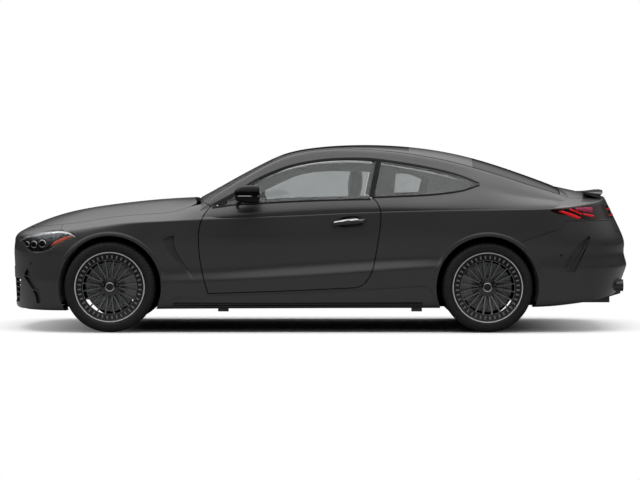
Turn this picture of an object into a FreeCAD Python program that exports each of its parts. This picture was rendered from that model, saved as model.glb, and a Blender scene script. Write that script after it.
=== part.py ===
import FreeCAD, Part
import math
import os
import Sketcher
from FreeCAD import Vector

# A coupe car, nose towards -X, on its wheels, origin on the ground under the middle of the body.
# All lengths are in millimetres. Y is positive on the car's right-hand side.

OUTPUT_FOLDER = "parts"
DOCUMENT = FreeCAD.newDocument("coupe")
SHEET = DOCUMENT.addObject("Spreadsheet::Sheet", "sizes")

# Driving dimensions

SIZES = {
    "front_overhang": 825.0,
    "wheelbase": 2875.0,
    "rear_overhang": 1150.0,
    "body_width": 1935.0,
    "belt_height": 1000.0,
    "roof_height": 1435.0,
    "front_tyre_radius": 347.0,
    "front_tyre_width": 265.0,
    "front_wheel_offset": 802.0,
    "rear_tyre_radius": 343.0,
    "rear_tyre_width": 295.0,
    "rear_wheel_offset": 797.0,
    "bead_radius": 254.0,
    "disc_radius": 190.0,
    "disc_width": 30.0,
    "spindle_radius": 18.0,
    "pin_clearance": 0.05,
    "engine_length": 700.0,
    "engine_width": 520.0,
    "engine_height": 538.0,
    "engine_bottom": 262.0,
    "seat_middle": 375.0,
    "seat_width": 490.0,
    "bench_width": 1080.0,
    "tip_radius": 46.0,
    "tip_wall": 5.0,
    "tip_height": 345.0,
    "steering_wheel_radius": 178.0,
}

for row, (alias, value) in enumerate(SIZES.items(), start=1):
    SHEET.set(f"A{row}", alias)
    SHEET.set(f"B{row}", str(value))
    SHEET.setAlias(f"B{row}", alias)
DOCUMENT.recompute()


def size(alias):
    return float(getattr(SHEET, alias))


def number(formula):
    """The value of a formula on the sheet's sizes."""
    return float(SHEET.evalExpression(str(formula)))


# The body is drawn at these reference sizes, and the sheet's sizes stretch it.

DRAWN_NOSE = -2425.0
DRAWN_FRONT_AXLE = -1600.0
DRAWN_REAR_AXLE = 1275.0
DRAWN_TAIL = 2425.0
DRAWN_WIDTH = 1935.0
DRAWN_BELT = 1000.0
DRAWN_ROOF = 1435.0

LENGTH = size("front_overhang") + size("wheelbase") + size("rear_overhang")
NOSE = -LENGTH / 2
FRONT_AXLE = NOSE + size("front_overhang")
REAR_AXLE = FRONT_AXLE + size("wheelbase")
TAIL = LENGTH / 2


def blend(value, low, high, new_low, new_high):
    return new_low + (value - low) * (new_high - new_low) / (high - low)


def along(x):
    """A drawn length position, stretched between nose, axles and tail."""
    if x < DRAWN_FRONT_AXLE:
        return blend(x, DRAWN_NOSE, DRAWN_FRONT_AXLE, NOSE, FRONT_AXLE)
    if x < DRAWN_REAR_AXLE:
        return blend(x, DRAWN_FRONT_AXLE, DRAWN_REAR_AXLE, FRONT_AXLE, REAR_AXLE)
    return blend(x, DRAWN_REAR_AXLE, DRAWN_TAIL, REAR_AXLE, TAIL)


def across(y):
    return y * size("body_width") / DRAWN_WIDTH


def upward(z):
    if z < DRAWN_BELT:
        return z * size("belt_height") / DRAWN_BELT
    return blend(z, DRAWN_BELT, DRAWN_ROOF, size("belt_height"), size("roof_height"))


def placed(x, y, z):
    return Vector(along(x), across(y), upward(z))


def curve(points):
    """A smooth function through a few (position, value) points, with no overshoot between them."""
    xs = [p[0] for p in points]
    ys = [p[1] for p in points]
    steps = [(ys[i + 1] - ys[i]) / (xs[i + 1] - xs[i]) for i in range(len(xs) - 1)]
    slopes = [steps[0]]
    for before, after in zip(steps, steps[1:]):
        same_way = before * after > 0
        slopes.append(2 * before * after / (before + after) if same_way else 0.0)
    slopes.append(steps[-1])

    def value(x):
        if x <= xs[0]:
            return ys[0] + slopes[0] * (x - xs[0])
        if x >= xs[-1]:
            return ys[-1] + slopes[-1] * (x - xs[-1])
        i = max(k for k in range(len(xs) - 1) if xs[k] <= x)
        span = xs[i + 1] - xs[i]
        t = (x - xs[i]) / span
        return (
            ys[i] * (1 + 2 * t) * (1 - t) ** 2
            + slopes[i] * span * t * (1 - t) ** 2
            + ys[i + 1] * t * t * (3 - 2 * t)
            + slopes[i + 1] * span * t * t * (t - 1)
        )

    return value


# Lower body: bonnet, wings, doors, haunches and bumpers below the shoulder crease

bonnet_top = curve([(-2403, 712), (-2371, 748), (-2324, 780), (-2228, 823), (-2133, 861), (-1942, 914),
                    (-1751, 950), (-1560, 975), (-1369, 996), (-1178, 1012), (-987, 1021), (-850, 1026)])
deck_top = curve([(1780, 1122), (1878, 1104), (1974, 1083), (2069, 1063), (2150, 1048), (2235, 1034)])
crease_height = curve([(-1850, 776), (-1730, 797), (-1600, 818), (-1442, 837), (-1163, 850), (-926, 862),
                       (-200, 892), (463, 920), (1100, 935), (1678, 942), (1880, 952)])
crease_width = curve([(-1850, 905), (-1600, 933), (-1442, 936), (-1163, 926), (-926, 913), (-500, 906),
                      (0, 906), (463, 915), (900, 935), (1275, 957), (1500, 956), (1678, 942), (1880, 895)])
crown_power = curve([(-2400, 2.0), (-1163, 2.05), (-1000, 3.5), (-900, 5.0), (-800, 5.0)])
waist_width = curve([(-1850, 928), (-1600, 951), (-1400, 945), (-1200, 926), (-1000, 917), (0, 915),
                     (500, 919), (850, 936), (1100, 958), (1275, 966), (1500, 961), (1700, 945), (1880, 922)])
waist_height = curve([(-1850, 620), (-1600, 700), (-1200, 690), (0, 700), (900, 720), (1275, 730),
                      (1880, 690)])
hollow_width = curve([(-1850, 925), (-1600, 946), (-1200, 908), (-900, 896), (0, 893), (500, 897),
                      (900, 918), (1275, 960), (1880, 915)])
hollow_height = curve([(-1850, 500), (-1200, 470), (-900, 470), (0, 520), (500, 550), (1275, 580),
                       (1880, 580)])
ledge_width = curve([(-1850, 928), (-1600, 944), (-1200, 922), (-900, 913), (-300, 921), (0, 922),
                     (500, 925), (900, 937), (1275, 957), (1880, 920)])
ledge_height = curve([(-1850, 385), (-1200, 385), (-926, 394), (0, 442), (880, 498), (1275, 500),
                      (1880, 480)])
sill_width = curve([(-1850, 905), (-1600, 915), (-1000, 900), (0, 898), (900, 902), (1275, 915), (1880, 898)])
sill_height = curve([(-1850, 178), (-1200, 190), (0, 195), (1275, 198), (1700, 206), (1880, 220)])

FLANK_STATIONS = [-1730, -1600, -1480, -1360, -1240, -1120, -1020, -950, -900, -860, -815, -740, -600, -400,
                  -150, 100, 350, 600, 850, 1050, 1200, 1350, 1500, 1640, 1740, 1810]
FRONT_FAN_START = -1850.0
REAR_FAN_START = 1880.0
NOSE_ANGLES = [0, 8, 20, 33, 46, 58, 69, 80]
TAIL_ANGLES = [80, 69, 58, 46, 33, 20, 8, 0]
NOSE_SQUARENESS = 2.35
TAIL_SQUARENESS = 2.5
HIDDEN_FROM = -800.0
HIDDEN_TO = 1770.0
HIDDEN_DROP = 30.0


def fan_point(angle, start, tip, width, squareness):
    """A point on a rounded end in plan: straight ahead at 0 degrees, square to the flank at 90."""
    turn = math.radians(angle)
    power = 2 / squareness
    x = start + (tip - start) * math.cos(turn) ** power
    return x, width * math.sin(turn) ** power


def rib(top, crease, waist, hollow, ledge, sill, softness, top_height, bottom_x, straight_across):
    """The poles of one half section of the lower body, from the centreline over the top to the underside."""
    poles = [Vector(top[0], 0, top[2])]
    for share in (0.25, 0.5, 0.75, 0.9):
        x = top[0] + share * (crease[0] - top[0])
        y = share * crease[1]
        poles.append(Vector(x, y, top_height(x, y, share)))
    if straight_across:
        poles[1].z = poles[0].z
    c, w, h, g, s = (Vector(*p) for p in (crease, waist, hollow, ledge, sill))
    inward = poles[-1] - c
    inward.normalize()
    down = w - c
    down.normalize()
    poles.append(c + inward * softness)
    poles.append(c)
    poles.append(c + down * softness)
    poles.append(c + (w - c) * 0.55)
    poles.append(w)
    poles.append(w + (h - w) * 0.6)
    poles.append(h)
    poles.append(g + (h - g) * 0.35)
    poles.append(g)
    poles.append(g + (s - g) * 0.15)
    poles.append(g + (s - g) * 0.7)
    poles.append(s)
    poles.append(Vector(s.x + (bottom_x - s.x) * 0.05, s.y * 0.95, s.z - 20))
    poles.append(Vector(s.x + (bottom_x - s.x) * 0.5, s.y * 0.5, s.z - 20))
    poles.append(Vector(bottom_x, 0, s.z - 20))
    return poles


def lower_ribs():
    ribs = []
    start = FRONT_FAN_START
    for angle in NOSE_ANGLES:
        swing = angle / 90.0

        def level(tip, width, front_z, flank_z):
            x, y = fan_point(angle, start, tip, width, NOSE_SQUARENESS)
            return x, y, front_z + (flank_z - front_z) * swing**1.5

        top_x = -2050 + (start + 2050 - 60) * swing

        def height(x, y, share):
            fall = bonnet_top(x) - level(-2403, crease_width(start), 715, crease_height(start))[2]
            width = max(crease_width(start) * (1 - ((start - x) / 600) ** 2 * 0.3), 1)
            return bonnet_top(x) - fall * min(1, (y / width)) ** 2

        crease = level(-2408, crease_width(start), 722, crease_height(start))
        ribs.append(rib((top_x, 0, bonnet_top(top_x)), crease,
                        level(-2425, waist_width(start), 610, waist_height(start)),
                        level(-2418, hollow_width(start), 500, hollow_height(start)),
                        level(-2414, ledge_width(start), 390, ledge_height(start)),
                        level(-2404, sill_width(start), 172, sill_height(start)),
                        60 - 20 * swing, height, -1700 - 150 * (1 - swing), False))
    for x in [start] + FLANK_STATIONS:
        hidden = HIDDEN_FROM < x < HIDDEN_TO
        crease_z = crease_height(x)
        centre = crease_z - HIDDEN_DROP if hidden else (bonnet_top(x) if x < 0 else deck_top(x))
        power = crown_power(x) if x < 0 else 1.7

        def height(px, py, share):
            return centre - (centre - crease_z) * share**power

        softness = 12 if x > -1400 else 12 + (-1400 - x) * 0.07
        ribs.append(rib((x, 0, centre), (x, crease_width(x), crease_z), (x, waist_width(x), waist_height(x)),
                        (x, hollow_width(x), hollow_height(x)), (x, ledge_width(x), ledge_height(x)),
                        (x, sill_width(x), sill_height(x)), softness, height, x, True))
    start = REAR_FAN_START
    for angle in [90] + TAIL_ANGLES:
        swing = angle / 90.0

        def level(tip, width, rear_z, flank_z):
            x, y = fan_point(angle, start, tip, width, TAIL_SQUARENESS)
            return x, y, rear_z + (flank_z - rear_z) * swing**1.5

        top_x = start + 130 * (1 - swing)
        crease = level(2240, crease_width(start), 1030, crease_height(start))

        def height(x, y, share):
            return deck_top(x) - (deck_top(x) - crease[2]) * share**1.7 * min(1.0, y / 400)

        ribs.append(rib((top_x, 0, deck_top(top_x)), crease,
                        level(2408, waist_width(start), 690, waist_height(start)),
                        level(2396, hollow_width(start), 590, hollow_height(start)),
                        level(2425, ledge_width(start), 500, ledge_height(start)),
                        level(2350, sill_width(start), 300, sill_height(start)),
                        18 - 4 * swing, height, 1700 + 150 * (1 - swing), angle == 90))
    return ribs


# Upper body: windscreen, roof, rear window, side glass and the shoulders down to the crease

roof_line = curve([(-1080, 940), (-940, 1022), (-796, 1100), (-605, 1207), (-414, 1306), (-318, 1351),
                   (-223, 1382), (-127, 1401), (0, 1418), (160, 1431), (350, 1436), (540, 1431), (732, 1417),
                   (923, 1391), (1114, 1353), (1305, 1302), (1496, 1240), (1687, 1172), (1830, 1118),
                   (1950, 1060), (2050, 990)])
rail_width = curve([(-1080, 800), (-940, 795), (-832, 772), (-634, 718), (-487, 684), (-341, 652),
                    (-194, 624), (-46, 605), (77, 595), (234, 588), (455, 586), (707, 588), (942, 594),
                    (1219, 609),
                    (1400, 622), (1600, 638), (1800, 652), (2050, 660)])
rail_height = curve([(-1080, 830), (-940, 915), (-832, 1018), (-634, 1142), (-487, 1229), (-341, 1304),
                     (-194, 1356), (-46, 1382), (77, 1392), (234, 1394), (455, 1380), (707, 1348),
                     (942, 1304), (1101, 1264), (1219, 1230), (1400, 1175), (1600, 1110), (1800, 1050),
                     (1900, 1018), (2050, 950)])
belt_width = curve([(-1080, 830), (-832, 808), (-650, 828), (-484, 840), (-46, 853), (358, 855), (624, 849),
                    (937, 828), (1096, 803), (1250, 778), (1400, 770), (1600, 765), (1850, 745), (2050, 740)])
belt_line = curve([(-1080, 820), (-940, 900), (-832, 962), (-650, 978), (-484, 991), (-46, 1012),
                   (358, 1024), (624, 1030), (800, 1036), (937, 1048), (1096, 1076), (1219, 1098),
                   (1300, 1085), (1400, 1058),
                   (1600, 1024), (1850, 990), (2050, 900)])
UPPER_STATIONS = [-1080, -1010, -940, -886, -832, -770, -700, -634, -560, -487, -414, -341, -270, -194, -120,
                  -46, 77, 234, 400, 560, 707, 850, 960, 1050, 1130, 1219, 1310, 1400, 1500, 1600, 1700, 1790,
                  1860, 1950, 2050]


def upper_ribs():
    ribs = []
    for x in UPPER_STATIONS:
        top, rail_y, rail_z = roof_line(x), rail_width(x), rail_height(x)
        belt_y, belt_z = belt_width(x), belt_line(x)
        crease_y, crease_z = crease_width(x) - 2, crease_height(x) + 1
        crease_z -= max(0, x - 1850) * 0.4
        poles = [Vector(x, 0, top)]
        for share in (0.25, 0.5, 0.75, 0.92):
            drop = (top - rail_z) * (share if share > 0.3 else 0) ** 3.0
            poles.append(Vector(x, share * rail_y, top - drop))
        rail = Vector(x, rail_y, rail_z)
        belt = Vector(x, belt_y, belt_z)
        crease = Vector(x, crease_y, crease_z)
        poles.append(rail)
        poles.append(rail + (belt - rail) * 0.12)
        poles.append(rail + (belt - rail) * 0.5 + Vector(0, 6, 4))
        poles.append(rail + (belt - rail) * 0.88)
        poles.append(belt + (crease - belt) * 0.04)
        poles.append(belt + (crease - belt) * 0.45 + Vector(0, 8, 6))
        poles.append(crease)
        poles.append(crease + Vector(0, -60, -110))
        poles.append(Vector(x, crease_y * 0.5, crease_z - 115))
        poles.append(Vector(x, 0, crease_z - 115))
        ribs.append(poles)
    front = [Vector(p.x - 20, 0, p.z) for p in ribs[0]]
    back = [Vector(p.x + 20, 0, p.z) for p in ribs[-1]]
    return [front] + ribs + [back]


def surface(net):
    rows, columns = len(net), len(net[0])
    result = Part.BSplineSurface()
    result.buildFromPolesMultsKnots(net, [4] + [1] * (rows - 4) + [4], [4] + [1] * (columns - 4) + [4],
                                    list(range(rows - 2)), list(range(columns - 2)), False, False, 3, 3)
    return result


def solid_from_half(net):
    face = surface(net).toShape()
    other = face.mirror(Vector(0, 0, 0), Vector(0, 1, 0))
    shell = Part.makeShell([face, other])
    shell.sewShape()
    solid = Part.makeSolid(shell)
    if solid.Volume < 0:
        solid.reverse()
    return solid


def mapped(net, change):
    return [[change(p) for p in line] for line in net]


LOWER_NET = mapped(lower_ribs(), lambda p: placed(*p))
UPPER_NET = mapped(upper_ribs(), lambda p: placed(*p))
CORE_HEIGHT = 600.0


def body_solid(front=0.0, side=0.0, top=0.0):
    """The car's closed outer form, or a copy shrunk by these depths at the nose, flanks and roof."""

    def shrunk(p):
        return Vector(
            p.x * (1 - front / TAIL),
            p.y * (1 - side / (size("body_width") / 2)),
            CORE_HEIGHT + (p.z - CORE_HEIGHT) * (1 - top / (size("roof_height") - CORE_HEIGHT)),
        )

    return solid_from_half(mapped(LOWER_NET, shrunk)).fuse(solid_from_half(mapped(UPPER_NET, shrunk)))


def edges_of(plane, runs):
    """Edges of an outline. A run of two points is straight, a longer one is a smooth curve."""
    edges = []
    for run in runs:
        if plane == "side":
            points = [Vector(along(a), 0, upward(b)) for a, b in run]
        elif plane == "plan":
            points = [Vector(along(a), across(b), 0) for a, b in run]
        else:
            points = [Vector(0, across(a), upward(b)) for a, b in run]
        if len(points) == 2:
            edges.append(Part.makeLine(*points))
        else:
            spline = Part.BSplineCurve()
            spline.interpolate(points)
            edges.append(spline.toShape())
    return edges


def polygon(*points):
    """The runs of an outline with straight sides."""
    points = list(points)
    return [[a, b] for a, b in zip(points, points[1:] + points[:1])]


def grown(runs, distance):
    """The same outline moved outwards by a distance, or inwards by a negative one."""
    ring = [point for run in runs for point in run[:-1]]
    area = sum(a[0] * b[1] - b[0] * a[1] for a, b in zip(ring, ring[1:] + ring[:1]))
    sign = 1 if area > 0 else -1
    moved = []
    for i, (x, y) in enumerate(ring):
        before, after = ring[i - 1], ring[(i + 1) % len(ring)]
        ux, uy = x - before[0], y - before[1]
        vx, vy = after[0] - x, after[1] - y
        u, v = math.hypot(ux, uy), math.hypot(vx, vy)
        ux, uy, vx, vy = ux / u, uy / u, vx / v, vy / v
        spread = max(1 + ux * vx + uy * vy, 0.3)
        moved.append((x + sign * distance * (uy + vy) / spread, y - sign * distance * (ux + vx) / spread))
    result = []
    start = 0
    for run in runs:
        count = len(run) - 1
        result.append([moved[(start + k) % len(moved)] for k in range(count + 1)])
        start += count
    return result


def slab(plane, runs, low, high):
    """The outline extruded across its own plane, between two positions."""
    axis = {"side": Vector(0, 1, 0), "plan": Vector(0, 0, 1), "front": Vector(1, 0, 0)}[plane]
    face = Part.Face(Part.Wire(edges_of(plane, runs)))
    face.translate(axis * low)
    return face.extrude(axis * (high - low))


def block(x0, x1, y0, y1, z0, z1):
    return Part.makeBox(x1 - x0, y1 - y0, z1 - z0, Vector(x0, y0, z0))


def rod(radius, start, end):
    start, end = Vector(*start), Vector(*end)
    return Part.makeCylinder(radius, (end - start).Length, start, end - start)


def mirrored(shape):
    return shape.mirror(Vector(0, 0, 0), Vector(0, 1, 0))


def fused(*shapes):
    return shapes[0].multiFuse(list(shapes[1:])).removeSplitter()


def largest(shape):
    """The biggest solid of a result that may have crumbs."""
    return max(shape.Solids, key=lambda s: s.Volume)


PARTS = {}


def keep(name, thing):
    """Gives a document object its name as a sub-part."""
    thing.Label = name
    PARTS[name] = thing
    return thing


def add(name, shape):
    feature = DOCUMENT.addObject("Part::Feature", name)
    feature.Shape = shape
    return keep(name, feature)


def mirror_image(name, source):
    """The same piece on the car's other side."""
    image = DOCUMENT.addObject("Part::Mirroring", name)
    image.Source = source
    image.Normal = Vector(0, 1, 0)
    return image


def add_pair(name, left):
    keep(name + "_right", mirror_image(name + "_right", add(name + "_left", left)))


def origin_plane(body, role):
    return next(thing for thing in body.Origin.OriginFeatures if thing.Role == role)


def outline(body, name, plane, corners, shift=0.0):
    """A closed sketch with straight sides. Each corner is two formulas on the sheet's sizes."""
    sketch = body.newObject("Sketcher::SketchObject", name)
    sketch.AttachmentSupport = [(origin_plane(body, plane), "")]
    sketch.MapMode = "FlatFace"
    sketch.AttachmentOffset = FreeCAD.Placement(Vector(0, 0, number(shift)), FreeCAD.Rotation())
    sketch.setExpression("AttachmentOffset.Base.z", str(shift))
    spots = [Vector(number(a), number(b), 0) for a, b in corners]
    count = len(spots)
    sketch.addGeometry([Part.LineSegment(spots[i], spots[(i + 1) % count]) for i in range(count)], False)
    sketch.addConstraint([Sketcher.Constraint("Coincident", i, 2, (i + 1) % count, 1) for i in range(count)])
    for i, corner in enumerate(corners):
        for direction, formula in zip(("DistanceX", "DistanceY"), corner):
            index = sketch.addConstraint(Sketcher.Constraint(direction, i, 1, number(formula)))
            sketch.setExpression(f"Constraints[{index}]", str(formula))
    return sketch


def revolved(body, name, section):
    """A full turn of a section about the sketch's own upright axis."""
    feature = body.newObject("PartDesign::Revolution", name)
    feature.Profile = section
    feature.ReferenceAxis = (section, ["V_Axis"])
    feature.Angle = 360
    return feature


def extruded(body, name, section, length):
    """A section carried the same way to both sides of its plane."""
    feature = body.newObject("PartDesign::Pad", name)
    feature.Profile = section
    feature.setExpression("Length", str(length))
    feature.Midplane = True
    return feature


def repeated(body, name, features, section, count):
    """Copies of features round the upright axis of a sketch."""
    feature = body.newObject("PartDesign::PolarPattern", name)
    feature.Originals = features
    feature.Axis = (section, ["V_Axis"])
    feature.Angle = 360
    feature.Occurrences = count
    body.Tip = feature
    return feature


def rounded(body, name, base, radius, chosen):
    """A fillet on the edges of a feature that pass a test."""
    DOCUMENT.recompute()
    edges = [f"Edge{i}" for i, edge in enumerate(base.Shape.Edges, start=1) if chosen(edge)]
    feature = body.newObject("PartDesign::Fillet", name)
    feature.Base = (base, edges)
    feature.Radius = radius
    return feature


def put(thing, x="0", y="0", z="0"):
    """Places an object at formulas on the sheet's sizes."""
    for letter, formula in zip("xyz", (x, y, z)):
        thing.setExpression(f"Placement.Base.{letter}", formula)
    return thing


def group(shapes):
    return Part.makeCompound([solid for shape in shapes for solid in shape.Solids])


# Exhaust tips

TIP_PLACES = (-560.0, -450.0, 450.0, 560.0)
TIP_RADIUS = size("tip_radius")
TIP_HEIGHT = size("tip_height")
TIP_START, TIP_MOUTH, TIP_END = 2204.0, 2255.0, 2345.0

# Diffuser fins under the rear bumper

DIFFUSER_LINE = polygon((2246, 240), (2352, 272), (2352, 292), (2246, 292))
DIFFUSER_PLACES = (-340.0, -205.0, -70.0, 70.0, 205.0, 340.0)
DIFFUSER_FIN = 8.0

# Hinges

HINGE_X, HINGE_Y = -815.0, -885.0
HINGE_HEIGHTS = (600.0, 810.0)
EYE_RADIUS = 12.0
EYE_HALF = 15.0
PIN_RADIUS = 6.0
PIN_CLEARANCE = size("pin_clearance")
SILL_INNER = 730.0
PILLAR_BACK = -930.0
ARM_OUTER, ARM_INNER = -767.0, -735.0
BONNET_AXIS = (-1015.0, 955.0)
BONNET_EYE = 10.0
LID_AXIS = (1970.0, 1062.0)
BONNET_HINGE_Y = 450.0
LID_HINGE_Y = 200.0

# Boot spoiler, from its left end to its right: half width, trailing edge and height

SPOILER_STATIONS = ((-575, 2172, 1052), (-540, 2186, 1066), (-300, 2210, 1080), (0, 2217, 1084),
                    (300, 2210, 1080), (540, 2186, 1066), (575, 2172, 1052))

# Panel depths and gaps

SHUT_GAP = 7.0
SEAL_GAP = 9.0

outer = body_solid()
inside_skin = body_solid(4, 4.5, 14)
inside_glass = body_solid(7, 7, 7)
inside_bumper = body_solid(22, 22, 40)
inside_lid = body_solid(26, 30, 55)
inside_frame = body_solid(40, 45, 45)


def panel(region, inside, *holes):
    """The part of the body's wall, from its outer surface to an inner one, that lies in a region."""
    shape = outer.common(region).cut(inside)
    for hole in holes:
        shape = shape.cut(hole)
    return shape


# Shut lines

WHEEL_RADIUS = size("front_tyre_radius")
REAR_WHEEL_RADIUS = size("rear_tyre_radius")
ARCH_RADIUS = 390.0
LINER = 6.0
FRONT_WELL = 480.0
REAR_WELL = 560.0

DOOR_LINE = [
    [(-832, 955), (-904, 837), (-919, 645), (-888, 437), (-850, 301)],
    [(-850, 301), (-400, 315), (243, 344)],
    [(243, 344), (330, 372), (387, 454), (420, 581), (452, 789), (459, 901), (436, 981), (395, 1022)],
    [(395, 1022), (-46, 1010), (-484, 989), (-832, 955)],
]
BONNET_LINE = [
    [(-2225, -450), (-2276, 0), (-2225, 450)],
    [(-2225, 450), (-1984, 680), (-1611, 730), (-1166, 735), (-1000, 690)],
    [(-1000, 690), (-964, 652), (-950, 600)],
    [(-950, 600), (-976, 300), (-985, 0), (-976, -300), (-950, -600)],
    [(-950, -600), (-964, -652), (-1000, -690)],
    [(-1000, -690), (-1166, -735), (-1611, -730), (-1984, -680), (-2225, -450)],
]


def screen_edge(x):
    return rail_width(x) - 38


def edge_run(xs, sign):
    return [(x, sign * screen_edge(x)) for x in xs]


def cross_run(x, bow):
    edge = screen_edge(x)
    return [(x, edge), (x + bow * 0.75, edge / 2), (x + bow, 0), (x + bow * 0.75, -edge / 2), (x, -edge)]


def band(x0, bow0, x1, bow1, xs):
    """A plan outline across the car between two bowed cross lines, along the screen's edges."""
    return [cross_run(x0, bow0), edge_run([x0] + xs + [x1], -1), cross_run(x1, bow1)[::-1],
            edge_run([x1] + xs[::-1] + [x0], 1)]


SCREEN_LINE = band(-890, -48, -330, -24, [-800, -700, -550, -400])
ROOF_LINE = band(-330, -24, 1180, 8, [-200, 0, 250, 500, 750, 950])
BACK_LINE = band(1180, 8, 1850, 20, [1300, 1450, 1600, 1750])
DECK_LINE = [
    cross_run(1850, 20),
    edge_run([1850, 1880], -1) + [(2050, -622), (2300, -610), (2600, -600)],
    [(2600, -600), (2600, 600)],
    [(2600, 600), (2300, 610), (2050, 622)] + edge_run([1880, 1850], 1),
]
ROOF_GLASS_LINE = [
    [(-290, 470), (-306, 240), (-310, 0), (-306, -240), (-290, -470)],
    [(-290, -470), (690, -470)],
    [(690, -470), (700, 0), (690, 470)],
    [(690, 470), (-290, 470)],
]
LAMP_LINE = [
    [(-2335, 698), (-2262, 728), (-2180, 750), (-2078, 769), (-1951, 776)],
    [(-1951, 776), (-1900, 764), (-1853, 735)],
    [(-1853, 735), (-1940, 694), (-2028, 648)],
    [(-2028, 648), (-2087, 615), (-2150, 603), (-2235, 618)],
    [(-2235, 618), (-2268, 662), (-2335, 698)],
]
TAIL_LAMP_LINE = [
    [(1745, 930), (1790, 953), (1900, 965), (2060, 971), (2170, 975)],
    [(2170, 975), (2500, 975)],
    [(2500, 975), (2500, 864)],
    [(2500, 864), (2150, 864)],
    [(2150, 864), (2085, 854), (2002, 862), (1877, 890), (1780, 913), (1745, 930)],
]
GILL_LINE = [
    [(-1190, 716), (-1125, 739)],
    [(-1125, 739), (-1106, 739)],
    [(-1106, 739), (-1110, 671)],
    [(-1110, 671), (-1087, 612), (-1032, 527), (-985, 455)],
    [(-985, 455), (-962, 404)],
    [(-962, 404), (-1017, 437), (-1080, 518), (-1146, 608), (-1188, 678)],
    [(-1188, 678), (-1190, 716)],
]
REAR_VENT_LINE = [
    [(2047, 737), (1990, 690), (1945, 644), (1900, 580), (1862, 496), (1872, 464)],
    [(1872, 464), (1942, 462)],
    [(1942, 462), (1985, 550), (2028, 646), (2056, 722)],
    [(2056, 722), (2047, 737)],
]
REAR_VENT_BLADE = polygon((2044, 690), (2040, 704), (1912, 480), (1924, 480))
SIDE_SLOT_LINE = [
    [(-2247, 487), (-2180, 376), (-2129, 263), (-2134, 222)],
    [(-2134, 222), (-2170, 216)],
    [(-2170, 216), (-2186, 290), (-2232, 360), (-2282, 426)],
    [(-2282, 426), (-2247, 487)],
]
SIDE_SLOT_FINS = (
    polygon((-2300, 440), (-2100, 380), (-2100, 372), (-2300, 432)),
    polygon((-2300, 350), (-2100, 300), (-2100, 292), (-2300, 342)),
)
HANDLE_CUP_LINE = [
    [(107, 838), (150, 868), (224, 886), (290, 884), (338, 862)],
    [(338, 862), (322, 826), (280, 804), (220, 796), (150, 806), (107, 838)],
]
HANDLE_LINE = [[(98, 842), (338, 872)], [(338, 872), (348, 858), (338, 846)], [(338, 846), (98, 820)],
               [(98, 820), (88, 830), (98, 842)]]
SKIRT_LINE = [
    [(-1150, 214), (-1120, 250), (-1040, 266), (-850, 278)],
    [(-850, 278), (-400, 292), (243, 320), (700, 344)],
    [(700, 344), (830, 330), (868, 214)],
    [(868, 214), (-1150, 214)],
]
GLASS_LINE = [
    [(-730, 960), (-715, 992), (-646, 1040), (-457, 1162), (-254, 1245), (-46, 1288), (174, 1306),
     (420, 1299)],
    [(420, 1299), (361, 1000)],
    [(361, 1000), (-730, 960)],
]
QUARTER_LINE = [
    [(395, 1036), (448, 1299)],
    [(448, 1299), (617, 1274), (838, 1238), (1060, 1185), (1205, 1127)],
    [(1205, 1127), (1096, 1090), (937, 1064), (755, 1050), (395, 1036)],
]
GRILLE_LINE = polygon((-330, 690), (330, 690), (430, 480), (-430, 480))
LOWER_INTAKE_LINE = polygon((-600, 400), (600, 400), (520, 215), (-520, 215))
RECESS = 15.0
PANEL_WALL = 4.5
GILL_TURN = 9.0
PROUD = 12.0

arch_front = rod(ARCH_RADIUS, (FRONT_AXLE, -1300, WHEEL_RADIUS), (FRONT_AXLE, 0, WHEEL_RADIUS))
arch_rear = rod(ARCH_RADIUS, (REAR_AXLE, -1300, REAR_WHEEL_RADIUS), (REAR_AXLE, 0, REAR_WHEEL_RADIUS))
door_hole = slab("side", grown(DOOR_LINE, SHUT_GAP), -1300, -300)
glass_hole = slab("side", grown(GLASS_LINE, 5), -1300, -300)
quarter_hole = slab("side", QUARTER_LINE, -1300, -300)
bonnet_hole = slab("plan", grown(BONNET_LINE, SHUT_GAP), 600, 1500)
deck_hole = slab("plan", grown(DECK_LINE, SHUT_GAP), 759, 1500)
lamp_region = slab("side", LAMP_LINE, -1200, -560)
tail_lamp_region = slab("side", TAIL_LAMP_LINE, -1200, -612)
screen_hole = slab("plan", SCREEN_LINE, 850, 1600)
roof_hole = slab("plan", ROOF_LINE, 850, 1600)
back_hole = slab("plan", BACK_LINE, 850, 1600)

wing_region = slab("side", polygon((-1975, 1100), (-1975, 745), (-1853, 737), (-1811, 703), (-1800, 200),
                                   (-1250, 200), (-1250, 285), (-820, 285), (-820, 955), (-835, 958),
                                   (-960, 1030), (-1200, 1100)), -1300, 0)
wing = panel(wing_region, inside_skin, arch_front, door_hole, bonnet_hole, lamp_region, screen_hole)
wing = largest(wing.cut(block(-1030, -800, -695, 0, 850, 1200)))
proud_skin = body_solid(0, -PROUD, 0)
recess_floor = body_solid(RECESS, RECESS, 0)
gill_axis = placed(-1146, -930, 608)
gill_floor = outer.copy()
gill_floor.rotate(gill_axis, Vector(0.67, 0, -0.74), -GILL_TURN)
gill_back = gill_floor.copy()
gill_back.translate(Vector(0, PANEL_WALL, 0))
gill_room = slab("side", grown(GILL_LINE, PANEL_WALL), -1300, -700)
gill_well = slab("side", GILL_LINE, -1300, -700).cut(gill_floor)
gill = outer.common(gill_room).cut(gill_back.common(inside_skin)).cut(gill_well)
wing = fused(wing.cut(gill_room), gill)
add_pair("front_wing", largest(wing))

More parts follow.
